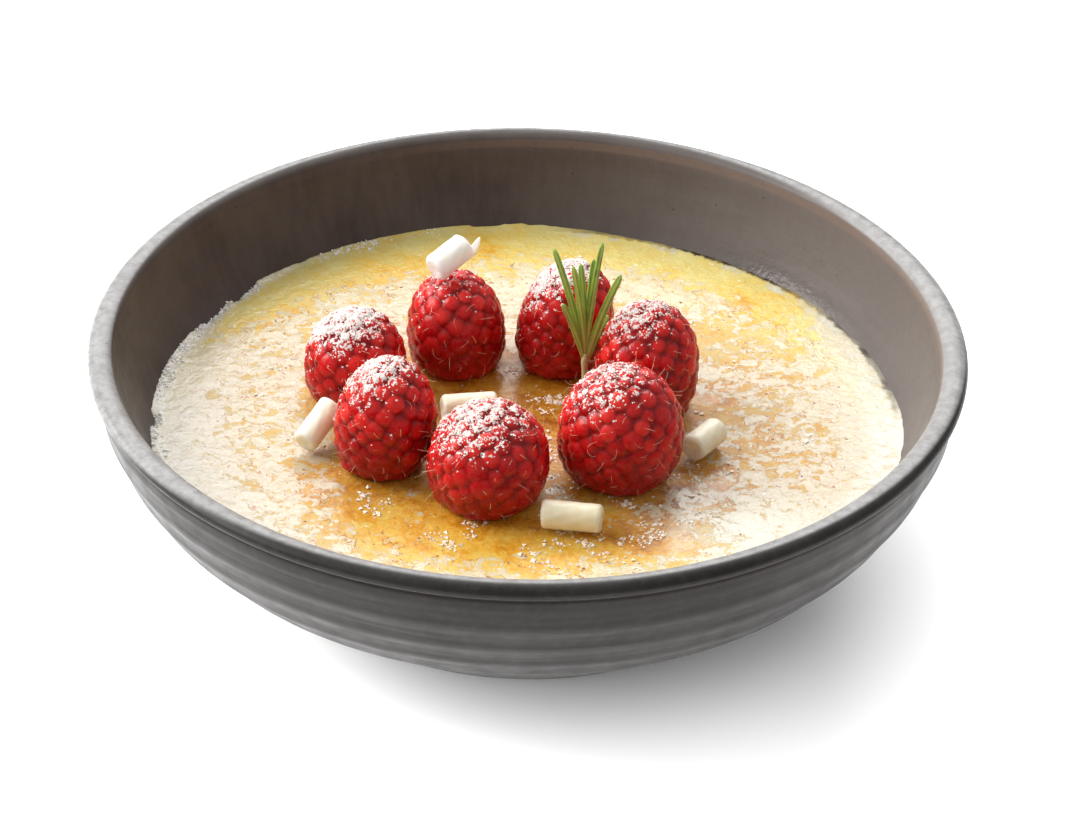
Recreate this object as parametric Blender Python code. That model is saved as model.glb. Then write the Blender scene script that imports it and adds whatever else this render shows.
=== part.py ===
"""Creme brulee in a stoneware bowl, topped with a ring of raspberries, white
chocolate curls and a sprig of rosemary.

Metres, +Z up.  The origin is on the table, at the centre of the foot ring.
+X is to the right and -Y faces the front.  Each solid is one object.
"""

import math

import bmesh
import bpy
import numpy as np
from mathutils import Vector

MM = 0.001
GAP = 0.3  # clearance between pieces that touch, mm

# --- bowl, mm --------------------------------------------------------------
SEGMENTS = 48  # sides of the turned pieces
RIM_RADIUS = 80.0  # outside of the rolled rim
RIM_HEIGHT = 50.0  # table to the top of the rim
ROLL_WIDE = 2.3  # half the width of the rolled rim's section, an ellipse
ROLL_HIGH = 1.4  # half its height
FOOT_RADIUS = 39.0  # outside of the foot ring
FOOT_WIDTH = 5.0  # flat that the bowl stands on
FOOT_HOLLOW = 1.6  # underside recess inside the foot ring
NECK_RADIUS = 78.7  # groove right under the rolled rim
NECK_HEIGHT = 47.15
FLOOR_TOP = 6.0  # inner floor above the table
RING_DEPTH = 0.22  # throwing rings on the outside
RING_PITCH = 5.6
# outside of the body: height, radius
BODY = ((1.9, 39.6), (6.0, 46.6), (12.0, 53.9), (18.0, 61.2), (24.0, 68.2),
        (30.0, 73.1), (36.0, 76.3), (42.0, 78.4), (46.6, 79.1))
# inside of the wall: height, radius
INSIDE = ((FLOOR_TOP, 31.0), (7.6, 40.0), (12.0, 47.4), (18.0, 54.9), (24.0, 62.0),
          (28.0, 66.0), (32.0, 69.2), (36.0, 71.5), (40.0, 73.2), (44.0, 74.5),
          (47.6, 75.2))

INSIDE_HEIGHTS = (FLOOR_TOP, 10.0, 18.0, 25.0, 32.0, 38.0, 43.5, 47.6)
OUTSIDE_HEIGHTS = (46.2, 43.0, 40.0, 37.2, 34.4, 30.0, 24.0, 16.0, 8.0, 1.9)
ROLL_ANGLES = (168, 142, 115, 90, 60, 30, 0, -30, -60)

# --- custard, mm -----------------------------------------------------------
CUSTARD_LEVEL = 32.0
CUSTARD_LIP = 0.5  # how far the set skin climbs at the wall

# --- raspberries, mm -------------------------------------------------------
DRUPELETS = 60
DRUPELET_UNEVEN = 0.15  # how much lower the lowest drupelet sits than the highest
DRUPELET_WAIST = 0.80  # depth of the crease between two drupelets
DRUPELET_PIT = 1.20  # depth of the pit where three of them meet
GOLDEN = math.pi * (3.0 - math.sqrt(5.0))
# name: centre x, y, radius, height, lean of the tip x, y, height of the widest
# part as a share of the height, how much of the radius the base keeps
BERRIES = {
    "raspberry_1": (-32.2, 5.0, 9.70, 17.6, 0.2, 0.5, 0.34, 0.76),
    "raspberry_2": (-25.9, -17.2, 9.40, 21.4, 1.6, 0.3, 0.32, 0.74),
    "raspberry_3": (-13.8, 17.7, 9.65, 18.9, -0.2, 0.3, 0.30, 0.82),
    "raspberry_4": (5.7, 17.5, 9.20, 21.7, 2.6, 0.5, 0.36, 0.74),
    "raspberry_5": (21.8, 2.8, 9.80, 22.0, 0.4, 0.3, 0.36, 0.76),
    "raspberry_6": (16.6, -18.9, 11.30, 22.0, 0.6, -0.3, 0.34, 0.74),
    "raspberry_7": (-7.1, -27.1, 11.15, 18.6, 1.2, -0.3, 0.38, 0.76),
}

# --- white chocolate curls, mm ---------------------------------------------
CURL_SHEET = 0.85  # thickness of the shaved sheet
CURL_SEAM = 0.3  # space between the turns
CURL_STEPS = 10  # sides in each turn
# name: centre x, y, z, heading and tilt of the axis in degrees, length,
# outside radius, turns, where the sheet's free edge lies
CURLS = {
    "chocolate_curl_1": (-14.95, 17.2, 55.10, 40.0, 20.0, 8.4, 2.95, 1.60, 262.0),
    "chocolate_curl_2": (-37.68, -12.28, 36.75, 56.0, 24.0, 9.8, 2.70, 1.40, 268.0),
    "chocolate_curl_3": (-10.6, -3.0, 35.15, 9.0, 0.0, 10.6, 2.80, 1.45, 262.0),
    "chocolate_curl_4": (8.3, -37.7, 35.25, -7.0, 0.0, 11.0, 2.90, 1.55, 266.0),
    "chocolate_curl_5": (32.5, -12.3, 35.20, 54.0, 0.0, 8.6, 2.85, 1.50, 262.0),
}

# --- rosemary sprig, mm ----------------------------------------------------
STEM_FOOT = (10.6, 2.8)
STEM_TOP = 43.6  # height of the growing tip
STEM_RADIUS = 0.62
NEEDLE_WIDTH = 1.40
NEEDLE_THICK = 0.72
NEEDLE_STEPS = 6
# needle: tip x, y, z, height where it leaves the stem, outward bow
NEEDLES = (
    (4.2, 4.2, 65.1, 41.6, 0.9),
    (7.8, 1.6, 63.0, 42.4, 0.5),
    (9.2, 3.9, 62.2, 43.0, 0.4),
    (11.6, 5.2, 62.4, 43.2, 0.3),
    (13.1, 3.2, 67.1, 42.6, 0.6),
    (16.6, 1.8, 61.2, 41.2, 1.0),
    (6.1, 2.0, 54.7, 40.6, 0.8),
    (14.5, 5.4, 50.4, 40.9, 0.5),
)

COLOURS = {  # base colour, roughness, subsurface weight
    "bowl": ((0.095, 0.085, 0.080), 0.42, 0.0),
    "custard": ((0.72, 0.45, 0.10), 0.22, 0.15),
    "raspberry": ((0.45, 0.006, 0.015), 0.35, 0.2),
    "chocolate_curl": ((0.86, 0.80, 0.66), 0.45, 0.2),
    "rosemary_sprig": ((0.10, 0.17, 0.045), 0.5, 0.0),
}


def clear_scene():
    for obj in list(bpy.data.objects):
        bpy.data.objects.remove(obj, do_unlink=True)


def material(name):
    mat = bpy.data.materials.new(name)
    mat.use_nodes = True
    kind = next(k for k in COLOURS if name.startswith(k))
    colour, roughness, subsurface = COLOURS[kind]
    shader = mat.node_tree.nodes["Principled BSDF"]
    shader.inputs["Base Color"].default_value = (*colour, 1.0)
    shader.inputs["Roughness"].default_value = roughness
    shader.inputs["Metallic"].default_value = 0.0
    shader.inputs["Subsurface Weight"].default_value = subsurface
    mat.diffuse_color = (*colour, 1.0)
    return mat


def add_object(name, mesh, smooth=True):
    obj = bpy.data.objects.new(name, mesh)
    bpy.context.scene.collection.objects.link(obj)
    mesh.materials.append(material(name))
    if smooth:
        mesh.shade_smooth()
        mesh.set_sharp_from_angle(angle=math.radians(40.0))
    return obj


def mesh_of(name, points, faces):
    """A closed mesh from points in mm, with its faces pointing out."""
    mesh = bpy.data.meshes.new(name)
    mesh.from_pydata([tuple(float(c) * MM for c in p) for p in points], [], faces)
    shape = bmesh.new()
    shape.from_mesh(mesh)
    bmesh.ops.recalc_face_normals(shape, faces=shape.faces)
    shape.to_mesh(mesh)
    shape.free()
    mesh.update()
    return mesh


def smooth_curve(knots, at):
    """Radius at a height on the smooth curve through (height, radius) knots."""
    knots = sorted(knots)
    heights = [k[0] for k in knots]
    radii = [k[1] for k in knots]
    slopes = []
    for i in range(len(knots)):
        a, b = max(i - 1, 0), min(i + 1, len(knots) - 1)
        slopes.append((radii[b] - radii[a]) / (heights[b] - heights[a]))
    at = min(max(at, heights[0]), heights[-1])
    i = max(j for j in range(len(knots) - 1) if heights[j] <= at)
    span = heights[i + 1] - heights[i]
    t = (at - heights[i]) / span
    return (
        radii[i] * (2 * t**3 - 3 * t**2 + 1)
        + slopes[i] * span * (t**3 - 2 * t**2 + t)
        + radii[i + 1] * (-2 * t**3 + 3 * t**2)
        + slopes[i + 1] * span * (t**3 - t**2)
    )


def wall_radius(height):
    """Inner radius of the bowl's wall."""
    return smooth_curve(INSIDE, height)


def bowl_profile():
    """(radius, height) from the axis inside, over the rim, down to the axis below."""
    profile = [(0.0, FLOOR_TOP)]
    for height in INSIDE_HEIGHTS:
        profile.append((wall_radius(height), height))
    for degrees in ROLL_ANGLES:
        angle = math.radians(degrees)
        profile.append((RIM_RADIUS - ROLL_WIDE + ROLL_WIDE * math.cos(angle),
                        RIM_HEIGHT - ROLL_HIGH + ROLL_HIGH * math.sin(angle)))
    profile.append((NECK_RADIUS, NECK_HEIGHT))
    for height in OUTSIDE_HEIGHTS:
        ring = RING_DEPTH * math.cos(2 * math.pi * (height - 40.0) / RING_PITCH)
        fade = min(1.0, max(0.0, (height - 4.0) / 20.0))
        profile.append((smooth_curve(BODY, height) + ring * fade, height))
    profile += [(FOOT_RADIUS, 0.9), (FOOT_RADIUS - 0.5, 0.0),
                (FOOT_RADIUS - FOOT_WIDTH, 0.0),
                (FOOT_RADIUS - FOOT_WIDTH - 1.2, FOOT_HOLLOW), (0.0, FOOT_HOLLOW)]
    return profile


def make_bowl():
    """Turned on the wheel: one profile, screwed through a full turn."""
    profile = bowl_profile()
    mesh = bpy.data.meshes.new("bowl")
    mesh.from_pydata([(r * MM, 0.0, z * MM) for r, z in profile],
                     [(i, i + 1) for i in range(len(profile) - 1)], [])
    obj = add_object("bowl", mesh, smooth=False)
    screw = obj.modifiers.new("turn", "SCREW")
    screw.axis = "Z"
    screw.angle = 2 * math.pi
    screw.steps = SEGMENTS
    screw.render_steps = SEGMENTS
    screw.use_merge_vertices = True
    screw.merge_threshold = 0.00001
    screw.use_smooth_shade = True
    return obj


def make_custard():
    """The set custard: it fills the bowl to its level and clings to the wall."""
    def top(radius, angle):
        edge = max(0.0, (radius - 52.0) / 16.0)
        wave = 0.16 * math.sin(3 * angle + 0.7) + 0.11 * math.sin(7 * angle + 2.1)
        return CUSTARD_LEVEL + edge**2 * CUSTARD_LIP + min(edge, 1.0) * wave

    rings = []  # (radius, height or None for the top surface)
    for radius in (22.0, 42.0, 54.0, 61.0, 66.0):
        rings.append((radius, None))
    rings.append((wall_radius(CUSTARD_LEVEL) - 1.4 * GAP, None))
    rings += [(wall_radius(h) - 1.6 * GAP, h) for h in INSIDE_HEIGHTS[3:0:-1]]
    rings.append((30.0, FLOOR_TOP + GAP))
    points = [(0.0, 0.0, CUSTARD_LEVEL)]
    for radius, height in rings:
        for k in range(SEGMENTS):
            angle = 2 * math.pi * k / SEGMENTS
            z = top(radius, angle) if height is None else height
            points.append((radius * math.cos(angle), radius * math.sin(angle), z))
    points.append((0.0, 0.0, FLOOR_TOP + GAP))
    faces = []
    for k in range(SEGMENTS):
        n = (k + 1) % SEGMENTS
        faces.append((0, 1 + k, 1 + n))
        for j in range(len(rings) - 1):
            a, b = 1 + j * SEGMENTS, 1 + (j + 1) * SEGMENTS
            faces.append((a + k, b + k, b + n, a + n))
        a = 1 + (len(rings) - 1) * SEGMENTS
        faces.append((a + n, a + k, len(points) - 1))
    return add_object("custard", mesh_of("custard", points, faces))


def berry_profile(radius, height, widest, base):
    """(radius, height) from the tip down the flank and across the flat base."""
    line = []
    for k in range(41):
        t = 1.0 - (1.0 - widest) * math.sin(0.5 * math.pi * k / 40)
        up = (t - widest) / (1.0 - widest)
        line.append((radius * math.sqrt(max(0.0, 1.0 - up**2.3)), t * height))
    for k in range(1, 16):
        t = widest * (1.0 - k / 15)
        down = (widest - t) / widest
        line.append((radius * (1.0 - (1.0 - base) * down**2.2), t * height))
    line.append((0.0, 0.0))
    line[0] = (0.0, height)
    return np.array(line)


def make_berry(name, x, y, radius, height, lean_x, lean_y, widest, base):
    """Drupelets spiral over a dome.  Each has its crown on the dome, and sinks to
    a crease against every neighbour and to a pit where three of them meet."""
    rng = np.random.default_rng(sum(map(ord, name)))
    line = berry_profile(radius, height, widest, base)
    steps = np.diff(line, axis=0)
    area = np.concatenate([[0.0], np.cumsum(
        np.hypot(steps[:, 0], steps[:, 1]) * (line[1:, 0] + line[:-1, 0]))])
    area /= area[-1]
    slope = np.gradient(line, axis=0)
    normal = np.stack([-slope[:, 1], slope[:, 0]], axis=1)
    normal /= np.maximum(np.linalg.norm(normal, axis=1), 1e-9)[:, None]

    number = np.arange(DRUPELETS)
    up = 1.0 - 2.0 * (number + 0.5) / DRUPELETS + rng.normal(0.0, 0.006, DRUPELETS)
    up = np.clip(up, -0.9985, 0.9985)
    turn = number * GOLDEN + rng.normal(0.0, 0.06, DRUPELETS)
    flat = np.sqrt(1.0 - up**2)
    ball = np.stack([flat * np.cos(turn), flat * np.sin(turn), up], axis=1)

    hull = bmesh.new()
    corners = [hull.verts.new(p) for p in ball]
    order = {v: i for i, v in enumerate(corners)}
    bmesh.ops.convex_hull(hull, input=hull.verts)
    bmesh.ops.triangulate(hull, faces=hull.faces)
    cells = [[order[v] for v in face.verts] for face in hull.faces]
    face_number = {face: i for i, face in enumerate(hull.faces)}
    edges = [(order[e.verts[0]], order[e.verts[1]],
              *(face_number[f] for f in e.link_faces)) for e in hull.edges]
    hull.free()

    meet = np.array([ball[c].mean(axis=0) for c in cells])
    meet /= np.linalg.norm(meet, axis=1)[:, None]

    def place(units, push):
        share = (1.0 - units[:, 2]) / 2.0
        angle = np.arctan2(units[:, 1], units[:, 0])
        r = np.interp(share, area, line[:, 0])
        z = np.interp(share, area, line[:, 1])
        nr = np.interp(share, area, normal[:, 0])
        nz = np.interp(share, area, normal[:, 1])
        oval = 1.0 + 0.02 * np.cos(2 * angle + lean_x * 3.0 + radius)
        r = (r + nr * push) * oval
        z = np.maximum(z + nz * push, 0.0)
        t = z / height
        return np.stack([x + lean_x * t + r * np.cos(angle),
                         y + lean_y * t + r * np.sin(angle),
                         CUSTARD_LEVEL + GAP + z], axis=1)

    waist = np.array([ball[a] + ball[b] for a, b, _, _ in edges])
    waist /= np.linalg.norm(waist, axis=1)[:, None]
    points = np.concatenate([
        place(ball, -DRUPELET_UNEVEN * rng.uniform(0.0, 1.0, DRUPELETS)),
        place(meet, np.full(len(meet), -DRUPELET_PIT)),
        place(waist, np.full(len(waist), -DRUPELET_WAIST))])
    faces = []
    for number, (a, b, f, g) in enumerate(edges):
        f, g = DRUPELETS + f, DRUPELETS + g
        m = DRUPELETS + len(meet) + number
        faces += [(a, f, m), (a, m, g), (b, m, f), (b, g, m)]
    return add_object(name, mesh_of(name, points, faces))


def frame_of(heading, tilt):
    """Unit vectors along a roll's axis and across it."""
    h, t = math.radians(heading), math.radians(tilt)
    along = Vector((math.cos(h) * math.cos(t), math.sin(h) * math.cos(t), math.sin(t)))
    side = Vector((0.0, 0.0, 1.0)).cross(along).normalized()
    return along, side, along.cross(side)


def make_curl(name, x, y, z, heading, tilt, length, radius, turns, seam):
    """A sheet shaved off a block, which rolls up on itself as it comes."""
    along, side, over = frame_of(heading, tilt)
    count = max(8, round(CURL_STEPS * turns))
    outer, inner = [], []
    for k in range(count + 1):
        angle = math.radians(seam) + 2 * math.pi * turns * k / count
        mid = radius - CURL_SHEET / 2 - (CURL_SHEET + CURL_SEAM) * turns * k / count
        for ring, off in ((outer, CURL_SHEET / 2), (inner, -CURL_SHEET / 2)):
            ring.append(((mid + off) * math.cos(angle), (mid + off) * math.sin(angle)))
    outline = outer + inner[::-1]
    size = len(outline)
    centre = Vector((x, y, z))
    points = []
    for end in (-0.5, 0.5):
        for a, b in outline:
            points.append(centre + along * (end * length) + side * a + over * b)
    faces = [(k, (k + 1) % size, size + (k + 1) % size, size + k) for k in range(size)]
    for k in range(count):
        strip = (k, k + 1, size - 2 - k, size - 1 - k)
        faces.append(strip[::-1])
        faces.append(tuple(size + v for v in strip))
    return add_object(name, mesh_of(name, points, faces))


def lofted(name, centres, widths, thicks, sides, facing):
    """A closed tube of flattened sections along the centres."""
    points, faces = [], []
    for k, centre in enumerate(centres):
        a, b = centres[max(k - 1, 0)], centres[min(k + 1, len(centres) - 1)]
        ahead = (b - a).normalized()
        across = ahead.cross(facing).normalized()
        depth = across.cross(ahead).normalized()
        for s in range(sides):
            angle = 2 * math.pi * s / sides
            points.append(centre + across * (widths[k] / 2 * math.cos(angle))
                          + depth * (thicks[k] / 2 * math.sin(angle)))
    last = len(centres) - 1
    for k in range(last):
        for s in range(sides):
            n = (s + 1) % sides
            faces.append((k * sides + s, k * sides + n,
                          (k + 1) * sides + n, (k + 1) * sides + s))
    faces.append(tuple(range(sides))[::-1])
    faces.append(tuple(last * sides + s for s in range(sides)))
    return mesh_of(name, points, faces)


def make_sprig():
    """A woody stem with narrow leaves that fan out from its top."""
    facing = Vector((0.0, -1.0, 0.15)).normalized()
    x, y = STEM_FOOT
    foot = CUSTARD_LEVEL + GAP
    heights = [foot, foot + 5.0, foot + 10.0, STEM_TOP]
    stem = lofted("rosemary_sprig",
                  [Vector((x, y, h)) for h in heights],
                  [2.0 * STEM_RADIUS * s for s in (0.9, 0.95, 1.1, 0.9)],
                  [2.0 * STEM_RADIUS * s for s in (0.9, 0.95, 1.1, 0.9)], 6, facing)
    obj = add_object("rosemary_sprig", stem)
    leaves = bpy.data.collections.new("leaves")
    bpy.context.scene.collection.children.link(leaves)
    for number, (tx, ty, tz, base, bow) in enumerate(NEEDLES):
        start, tip = Vector((x, y, base)), Vector((tx, ty, tz))
        run = tip - start
        out = Vector((run.x, run.y, 0.0))
        out = out.normalized() if out.length > 0.5 else Vector((1.0, 0.0, 0.0))
        centres, shares = [], [k / NEEDLE_STEPS for k in range(NEEDLE_STEPS + 1)]
        for t in shares:
            centres.append(start + run * t + out * (bow * math.sin(math.pi * t) * -0.6))
        taper = [0.42 + 0.58 * math.sin(math.pi * min(1.0, t * 1.15 + 0.1)) ** 0.5
                 if t < 0.78 else 0.95 * math.sqrt(max(0.03, 1 - ((t - 0.78) / 0.235) ** 2))
                 for t in shares]
        mesh = lofted(f"leaf_{number}", centres, [NEEDLE_WIDTH * w for w in taper],
                      [NEEDLE_THICK * w for w in taper], 4, facing)
        leaf = bpy.data.objects.new(f"leaf_{number}", mesh)
        leaves.objects.link(leaf)
        leaf.hide_render = True
        leaf.display_type = "WIRE"
    union = obj.modifiers.new("join leaves", "BOOLEAN")
    union.operation = "UNION"
    union.operand_type = "COLLECTION"
    union.collection = leaves
    union.solver = "EXACT"
    return obj


def main():
    clear_scene()
    make_bowl()
    make_custard()
    for name, sizes in BERRIES.items():
        make_berry(name, *sizes)
    for name, sizes in CURLS.items():
        make_curl(name, *sizes)
    make_sprig()
    bpy.context.view_layer.update()


main()
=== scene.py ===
"""Looks of the creme brulee: a stoneware bowl of caramelised custard, seven
raspberries under icing sugar, white chocolate curls and a rosemary sprig.

Lengths are in mm until a mesh is written.  Every piece is made by functions
from the sizes below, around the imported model.
"""

import math

import bmesh
import bpy
import numpy as np
from mathutils import Matrix, Vector
from mathutils.kdtree import KDTree


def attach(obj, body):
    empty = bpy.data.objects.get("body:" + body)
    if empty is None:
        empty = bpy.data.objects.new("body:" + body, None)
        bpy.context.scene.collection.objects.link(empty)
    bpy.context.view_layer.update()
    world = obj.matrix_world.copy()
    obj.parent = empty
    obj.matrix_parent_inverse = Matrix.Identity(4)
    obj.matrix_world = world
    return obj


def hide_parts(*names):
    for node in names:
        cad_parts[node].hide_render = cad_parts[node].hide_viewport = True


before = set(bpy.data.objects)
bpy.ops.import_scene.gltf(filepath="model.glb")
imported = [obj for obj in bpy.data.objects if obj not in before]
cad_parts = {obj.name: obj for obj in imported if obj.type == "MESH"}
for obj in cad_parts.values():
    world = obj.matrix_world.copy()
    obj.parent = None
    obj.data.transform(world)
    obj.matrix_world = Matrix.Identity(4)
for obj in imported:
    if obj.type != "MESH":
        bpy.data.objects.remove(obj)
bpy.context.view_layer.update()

MM = 0.001

# --- the bowl's turned profile ----------------------------------------------
RIM_RADIUS, RIM_HEIGHT = 80.0, 50.0
ROLL_WIDE, ROLL_HIGH = 2.3, 1.4  # half axes of the rolled rim's section
FOOT_RADIUS, FOOT_WIDTH, FOOT_HOLLOW = 39.0, 5.0, 1.6
NECK_RADIUS, NECK_HEIGHT = 78.7, 47.15
FLOOR_TOP = 6.0
BODY = ((1.9, 39.6), (6.0, 46.6), (12.0, 53.9), (18.0, 61.2), (24.0, 68.2),
        (30.0, 73.1), (36.0, 76.3), (42.0, 78.4), (46.6, 79.1))
INSIDE = ((FLOOR_TOP, 31.0), (7.6, 40.0), (12.0, 47.4), (18.0, 54.9), (24.0, 62.0),
          (28.0, 66.0), (32.0, 69.2), (36.0, 71.5), (40.0, 73.2), (44.0, 74.5),
          (47.6, 75.2))

LEVEL = 32.0  # custard

# name: centre x, y, radius, height, lean x, y, widest share, base share
BERRIES = {
    1: (-32.2, 5.0, 9.70, 17.6, 0.2, 0.5, 0.34, 0.76),
    2: (-25.9, -17.2, 9.40, 21.4, 1.6, 0.3, 0.32, 0.74),
    3: (-13.8, 17.7, 9.65, 18.9, -0.2, 0.3, 0.30, 0.82),
    4: (5.7, 17.5, 9.20, 21.7, 2.6, 0.5, 0.36, 0.74),
    5: (21.8, 2.8, 9.80, 22.0, 0.4, 0.3, 0.36, 0.76),
    6: (16.6, -18.9, 11.30, 22.0, 0.6, -0.3, 0.34, 0.74),
    7: (-7.1, -27.1, 11.15, 18.6, 1.2, -0.3, 0.38, 0.76),
}
# how far down the sugar lies, and how thick, on each berry
SUGAR_LOAD = {1: 1.10, 2: 0.98, 3: 0.66, 4: 1.12, 5: 0.92, 6: 0.88, 7: 0.96}
GOLDEN = math.pi * (3.0 - math.sqrt(5.0))

# name: x, y, z, heading, tilt, length, outside radius, turns, seam
CURLS = {
    1: (-14.95, 17.2, 55.10, 40.0, 20.0, 8.4, 2.95, 1.60, 262.0),
    2: (-37.68, -12.28, 36.75, 56.0, 24.0, 9.8, 2.70, 1.40, 268.0),
    3: (-10.6, -3.0, 35.15, 9.0, 0.0, 10.6, 2.80, 1.45, 262.0),
    4: (8.3, -37.7, 35.25, -7.0, 0.0, 11.0, 2.90, 1.55, 266.0),
    5: (32.5, -12.3, 35.20, 54.0, 0.0, 8.6, 2.85, 1.50, 262.0),
}
# painted light: how far each curl's colour is painted brighter, most on curl 1, which catches the most
# light
CURL_PAINTED_LIGHT = {1: 0.95, 2: 0.45, 3: 0.2, 4: 0.0, 5: 0.2}
CURL_FILLET = 0.85  # how round the ends are
# the sliver at the end of curl 1: four points of a Bezier curve
CURL_TAIL = ((-12.3, 20.0, 53.9), (-11.0, 20.3, 54.2), (-10.4, 20.5, 55.4), (-9.6, 20.7, 57.5))

STEM_FOOT, STEM_TOP, STEM_RADIUS = (10.6, 2.8), 43.6, 0.62
NEEDLE_WIDTH, NEEDLE_THICK = 1.40, 0.72
NEEDLES = (
    (4.2, 4.2, 65.1, 41.6, 0.9),
    (7.8, 1.6, 63.0, 42.4, 0.5),
    (9.2, 3.9, 62.2, 43.0, 0.4),
    (11.6, 5.2, 62.4, 43.2, 0.3),
    (13.1, 3.2, 67.1, 42.6, 0.6),
    (16.6, 1.8, 61.2, 41.2, 1.0),
    (6.1, 2.0, 54.7, 40.6, 0.8),
    (14.5, 5.4, 50.4, 40.9, 0.5),
)


# ============================================================================
# noise
# ============================================================================
def hashed(ix, iy, iz, seed):
    """A number in [0, 1) for each whole-number point."""
    h = (ix.astype(np.int64) * 374761393 + iy.astype(np.int64) * 668265263
         + iz.astype(np.int64) * 1440662683 + seed * 2246822519) & 0xFFFFFFFF
    h = h.astype(np.uint32)
    h ^= h >> np.uint32(15)
    h *= np.uint32(2246822519)
    h ^= h >> np.uint32(13)
    h *= np.uint32(3266489917)
    h ^= h >> np.uint32(16)
    return h.astype(np.float64) / 4294967296.0


def noise2(x, y, seed):
    """Gradient noise, about -1 to 1."""
    ix, iy = np.floor(x), np.floor(y)
    fx, fy = x - ix, y - iy
    ux = fx**3 * (fx * (fx * 6 - 15) + 10)
    uy = fy**3 * (fy * (fy * 6 - 15) + 10)
    total = 0.0
    zero = np.zeros_like(ix)
    for dx in (0, 1):
        for dy in (0, 1):
            a = 2 * math.pi * hashed(ix + dx, iy + dy, zero, seed)
            dot = np.cos(a) * (fx - dx) + np.sin(a) * (fy - dy)
            total = total + dot * (ux if dx else 1 - ux) * (uy if dy else 1 - uy)
    return total * 1.45


def noise3(p, seed):
    cell = np.floor(p)
    f = p - cell
    u = f**3 * (f * (f * 6 - 15) + 10)
    total = 0.0
    for dx in (0, 1):
        for dy in (0, 1):
            for dz in (0, 1):
                c = (cell[:, 0] + dx, cell[:, 1] + dy, cell[:, 2] + dz)
                a = 2 * math.pi * hashed(*c, seed)
                w = 2 * hashed(*c, seed + 77) - 1
                s = np.sqrt(np.maximum(0.0, 1 - w * w))
                dot = (s * np.cos(a) * (f[:, 0] - dx) + s * np.sin(a) * (f[:, 1] - dy)
                       + w * (f[:, 2] - dz))
                total = total + (dot * (u[:, 0] if dx else 1 - u[:, 0])
                                 * (u[:, 1] if dy else 1 - u[:, 1])
                                 * (u[:, 2] if dz else 1 - u[:, 2]))
    return total * 1.5


def fbm2(x, y, seed, octaves=3, gain=0.5):
    total, size, reach = 0.0, 1.0, 0.0
    for k in range(octaves):
        total = total + size * noise2(x * 2.03**k + 13.7 * k, y * 2.03**k - 7.1 * k, seed + k)
        reach += size
        size *= gain
    return total / reach


def fbm3(p, seed, octaves=3, gain=0.5):
    total, size, reach = 0.0, 1.0, 0.0
    for k in range(octaves):
        total = total + size * noise3(p * 2.03**k + 11.3 * k, seed + k)
        reach += size
        size *= gain
    return total / reach


def cells2(x, y, seed):
    """Distance to the nearest and the second nearest scattered point, and the
    number of the nearest."""
    ix, iy = np.floor(x), np.floor(y)
    near = np.full(x.shape, 9.0)
    second = np.full(x.shape, 9.0)
    which = np.zeros(x.shape)
    zero = np.zeros_like(ix)
    for dx in (-1, 0, 1):
        for dy in (-1, 0, 1):
            cx, cy = ix + dx, iy + dy
            px = cx + hashed(cx, cy, zero, seed)
            py = cy + hashed(cx, cy, zero, seed + 31)
            d = np.hypot(px - x, py - y)
            closer = d < near
            second = np.where(closer, near, np.minimum(second, d))
            which = np.where(closer, hashed(cx, cy, zero, seed + 57), which)
            near = np.where(closer, d, near)
    return near, second, which


def smooth(low, high, value):
    t = np.clip((value - low) / (high - low), 0.0, 1.0)
    return t * t * (3 - 2 * t)


# ============================================================================
# meshes
# ============================================================================
def make_object(name, points, groups, material, attributes=None, flat=False):
    """A mesh object from points in mm and arrays of faces, one per corner count."""
    mesh = bpy.data.meshes.new(name)
    points = np.ascontiguousarray(points, np.float32) * np.float32(MM)
    groups = [np.asarray(g, np.int32) for g in groups if len(g)]
    corners = np.concatenate([g.ravel() for g in groups]).astype(np.int32)
    counts = np.concatenate([np.full(len(g), g.shape[1], np.int32) for g in groups])
    starts = np.concatenate([[0], np.cumsum(counts)[:-1]]).astype(np.int32)
    mesh.vertices.add(len(points))
    mesh.vertices.foreach_set("co", points.ravel())
    mesh.loops.add(len(corners))
    mesh.loops.foreach_set("vertex_index", corners)
    mesh.polygons.add(len(counts))
    mesh.polygons.foreach_set("loop_start", starts)
    mesh.update(calc_edges=True)
    mesh.validate()
    for key, values in (attributes or {}).items():
        layer = mesh.attributes.new(key, "FLOAT", "POINT")
        layer.data.foreach_set("value", np.ascontiguousarray(values, np.float32))
    mesh.materials.append(material)
    mesh.polygons.foreach_set("use_smooth", np.full(len(mesh.polygons), not flat))
    mesh.update()
    obj = bpy.data.objects.new(name, mesh)
    bpy.context.scene.collection.objects.link(obj)
    return obj


def normals_of(points, faces):
    """Unit normal at each point of a triangle mesh."""
    a, b, c = (points[faces[:, k]] for k in range(3))
    face = np.cross(b - a, c - a)
    total = np.zeros_like(points)
    for k in range(3):
        for axis in range(3):
            total[:, axis] += np.bincount(faces[:, k], face[:, axis], len(points))
    return total / np.maximum(np.linalg.norm(total, axis=1), 1e-12)[:, None]


def settle(piece, slot=None, *nodes):
    """The piece rides on the one body, and stands for those CAD nodes."""
    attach(piece, "root")
    if nodes:
        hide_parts(*nodes)
    return piece


def smooth_curve(knots, at):
    """Hermite curve through (height, radius) knots, for an array of heights."""
    knots = sorted(knots)
    h = np.array([k[0] for k in knots])
    r = np.array([k[1] for k in knots])
    slope = np.empty(len(h))
    for i in range(len(h)):
        a, b = max(i - 1, 0), min(i + 1, len(h) - 1)
        slope[i] = (r[b] - r[a]) / (h[b] - h[a])
    at = np.clip(np.asarray(at, float), h[0], h[-1])
    i = np.clip(np.searchsorted(h, at, side="right") - 1, 0, len(h) - 2)
    span = h[i + 1] - h[i]
    t = (at - h[i]) / span
    return (r[i] * (2 * t**3 - 3 * t**2 + 1) + slope[i] * span * (t**3 - 2 * t**2 + t)
            + r[i + 1] * (-2 * t**3 + 3 * t**2) + slope[i + 1] * span * (t**3 - t**2))


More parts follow.
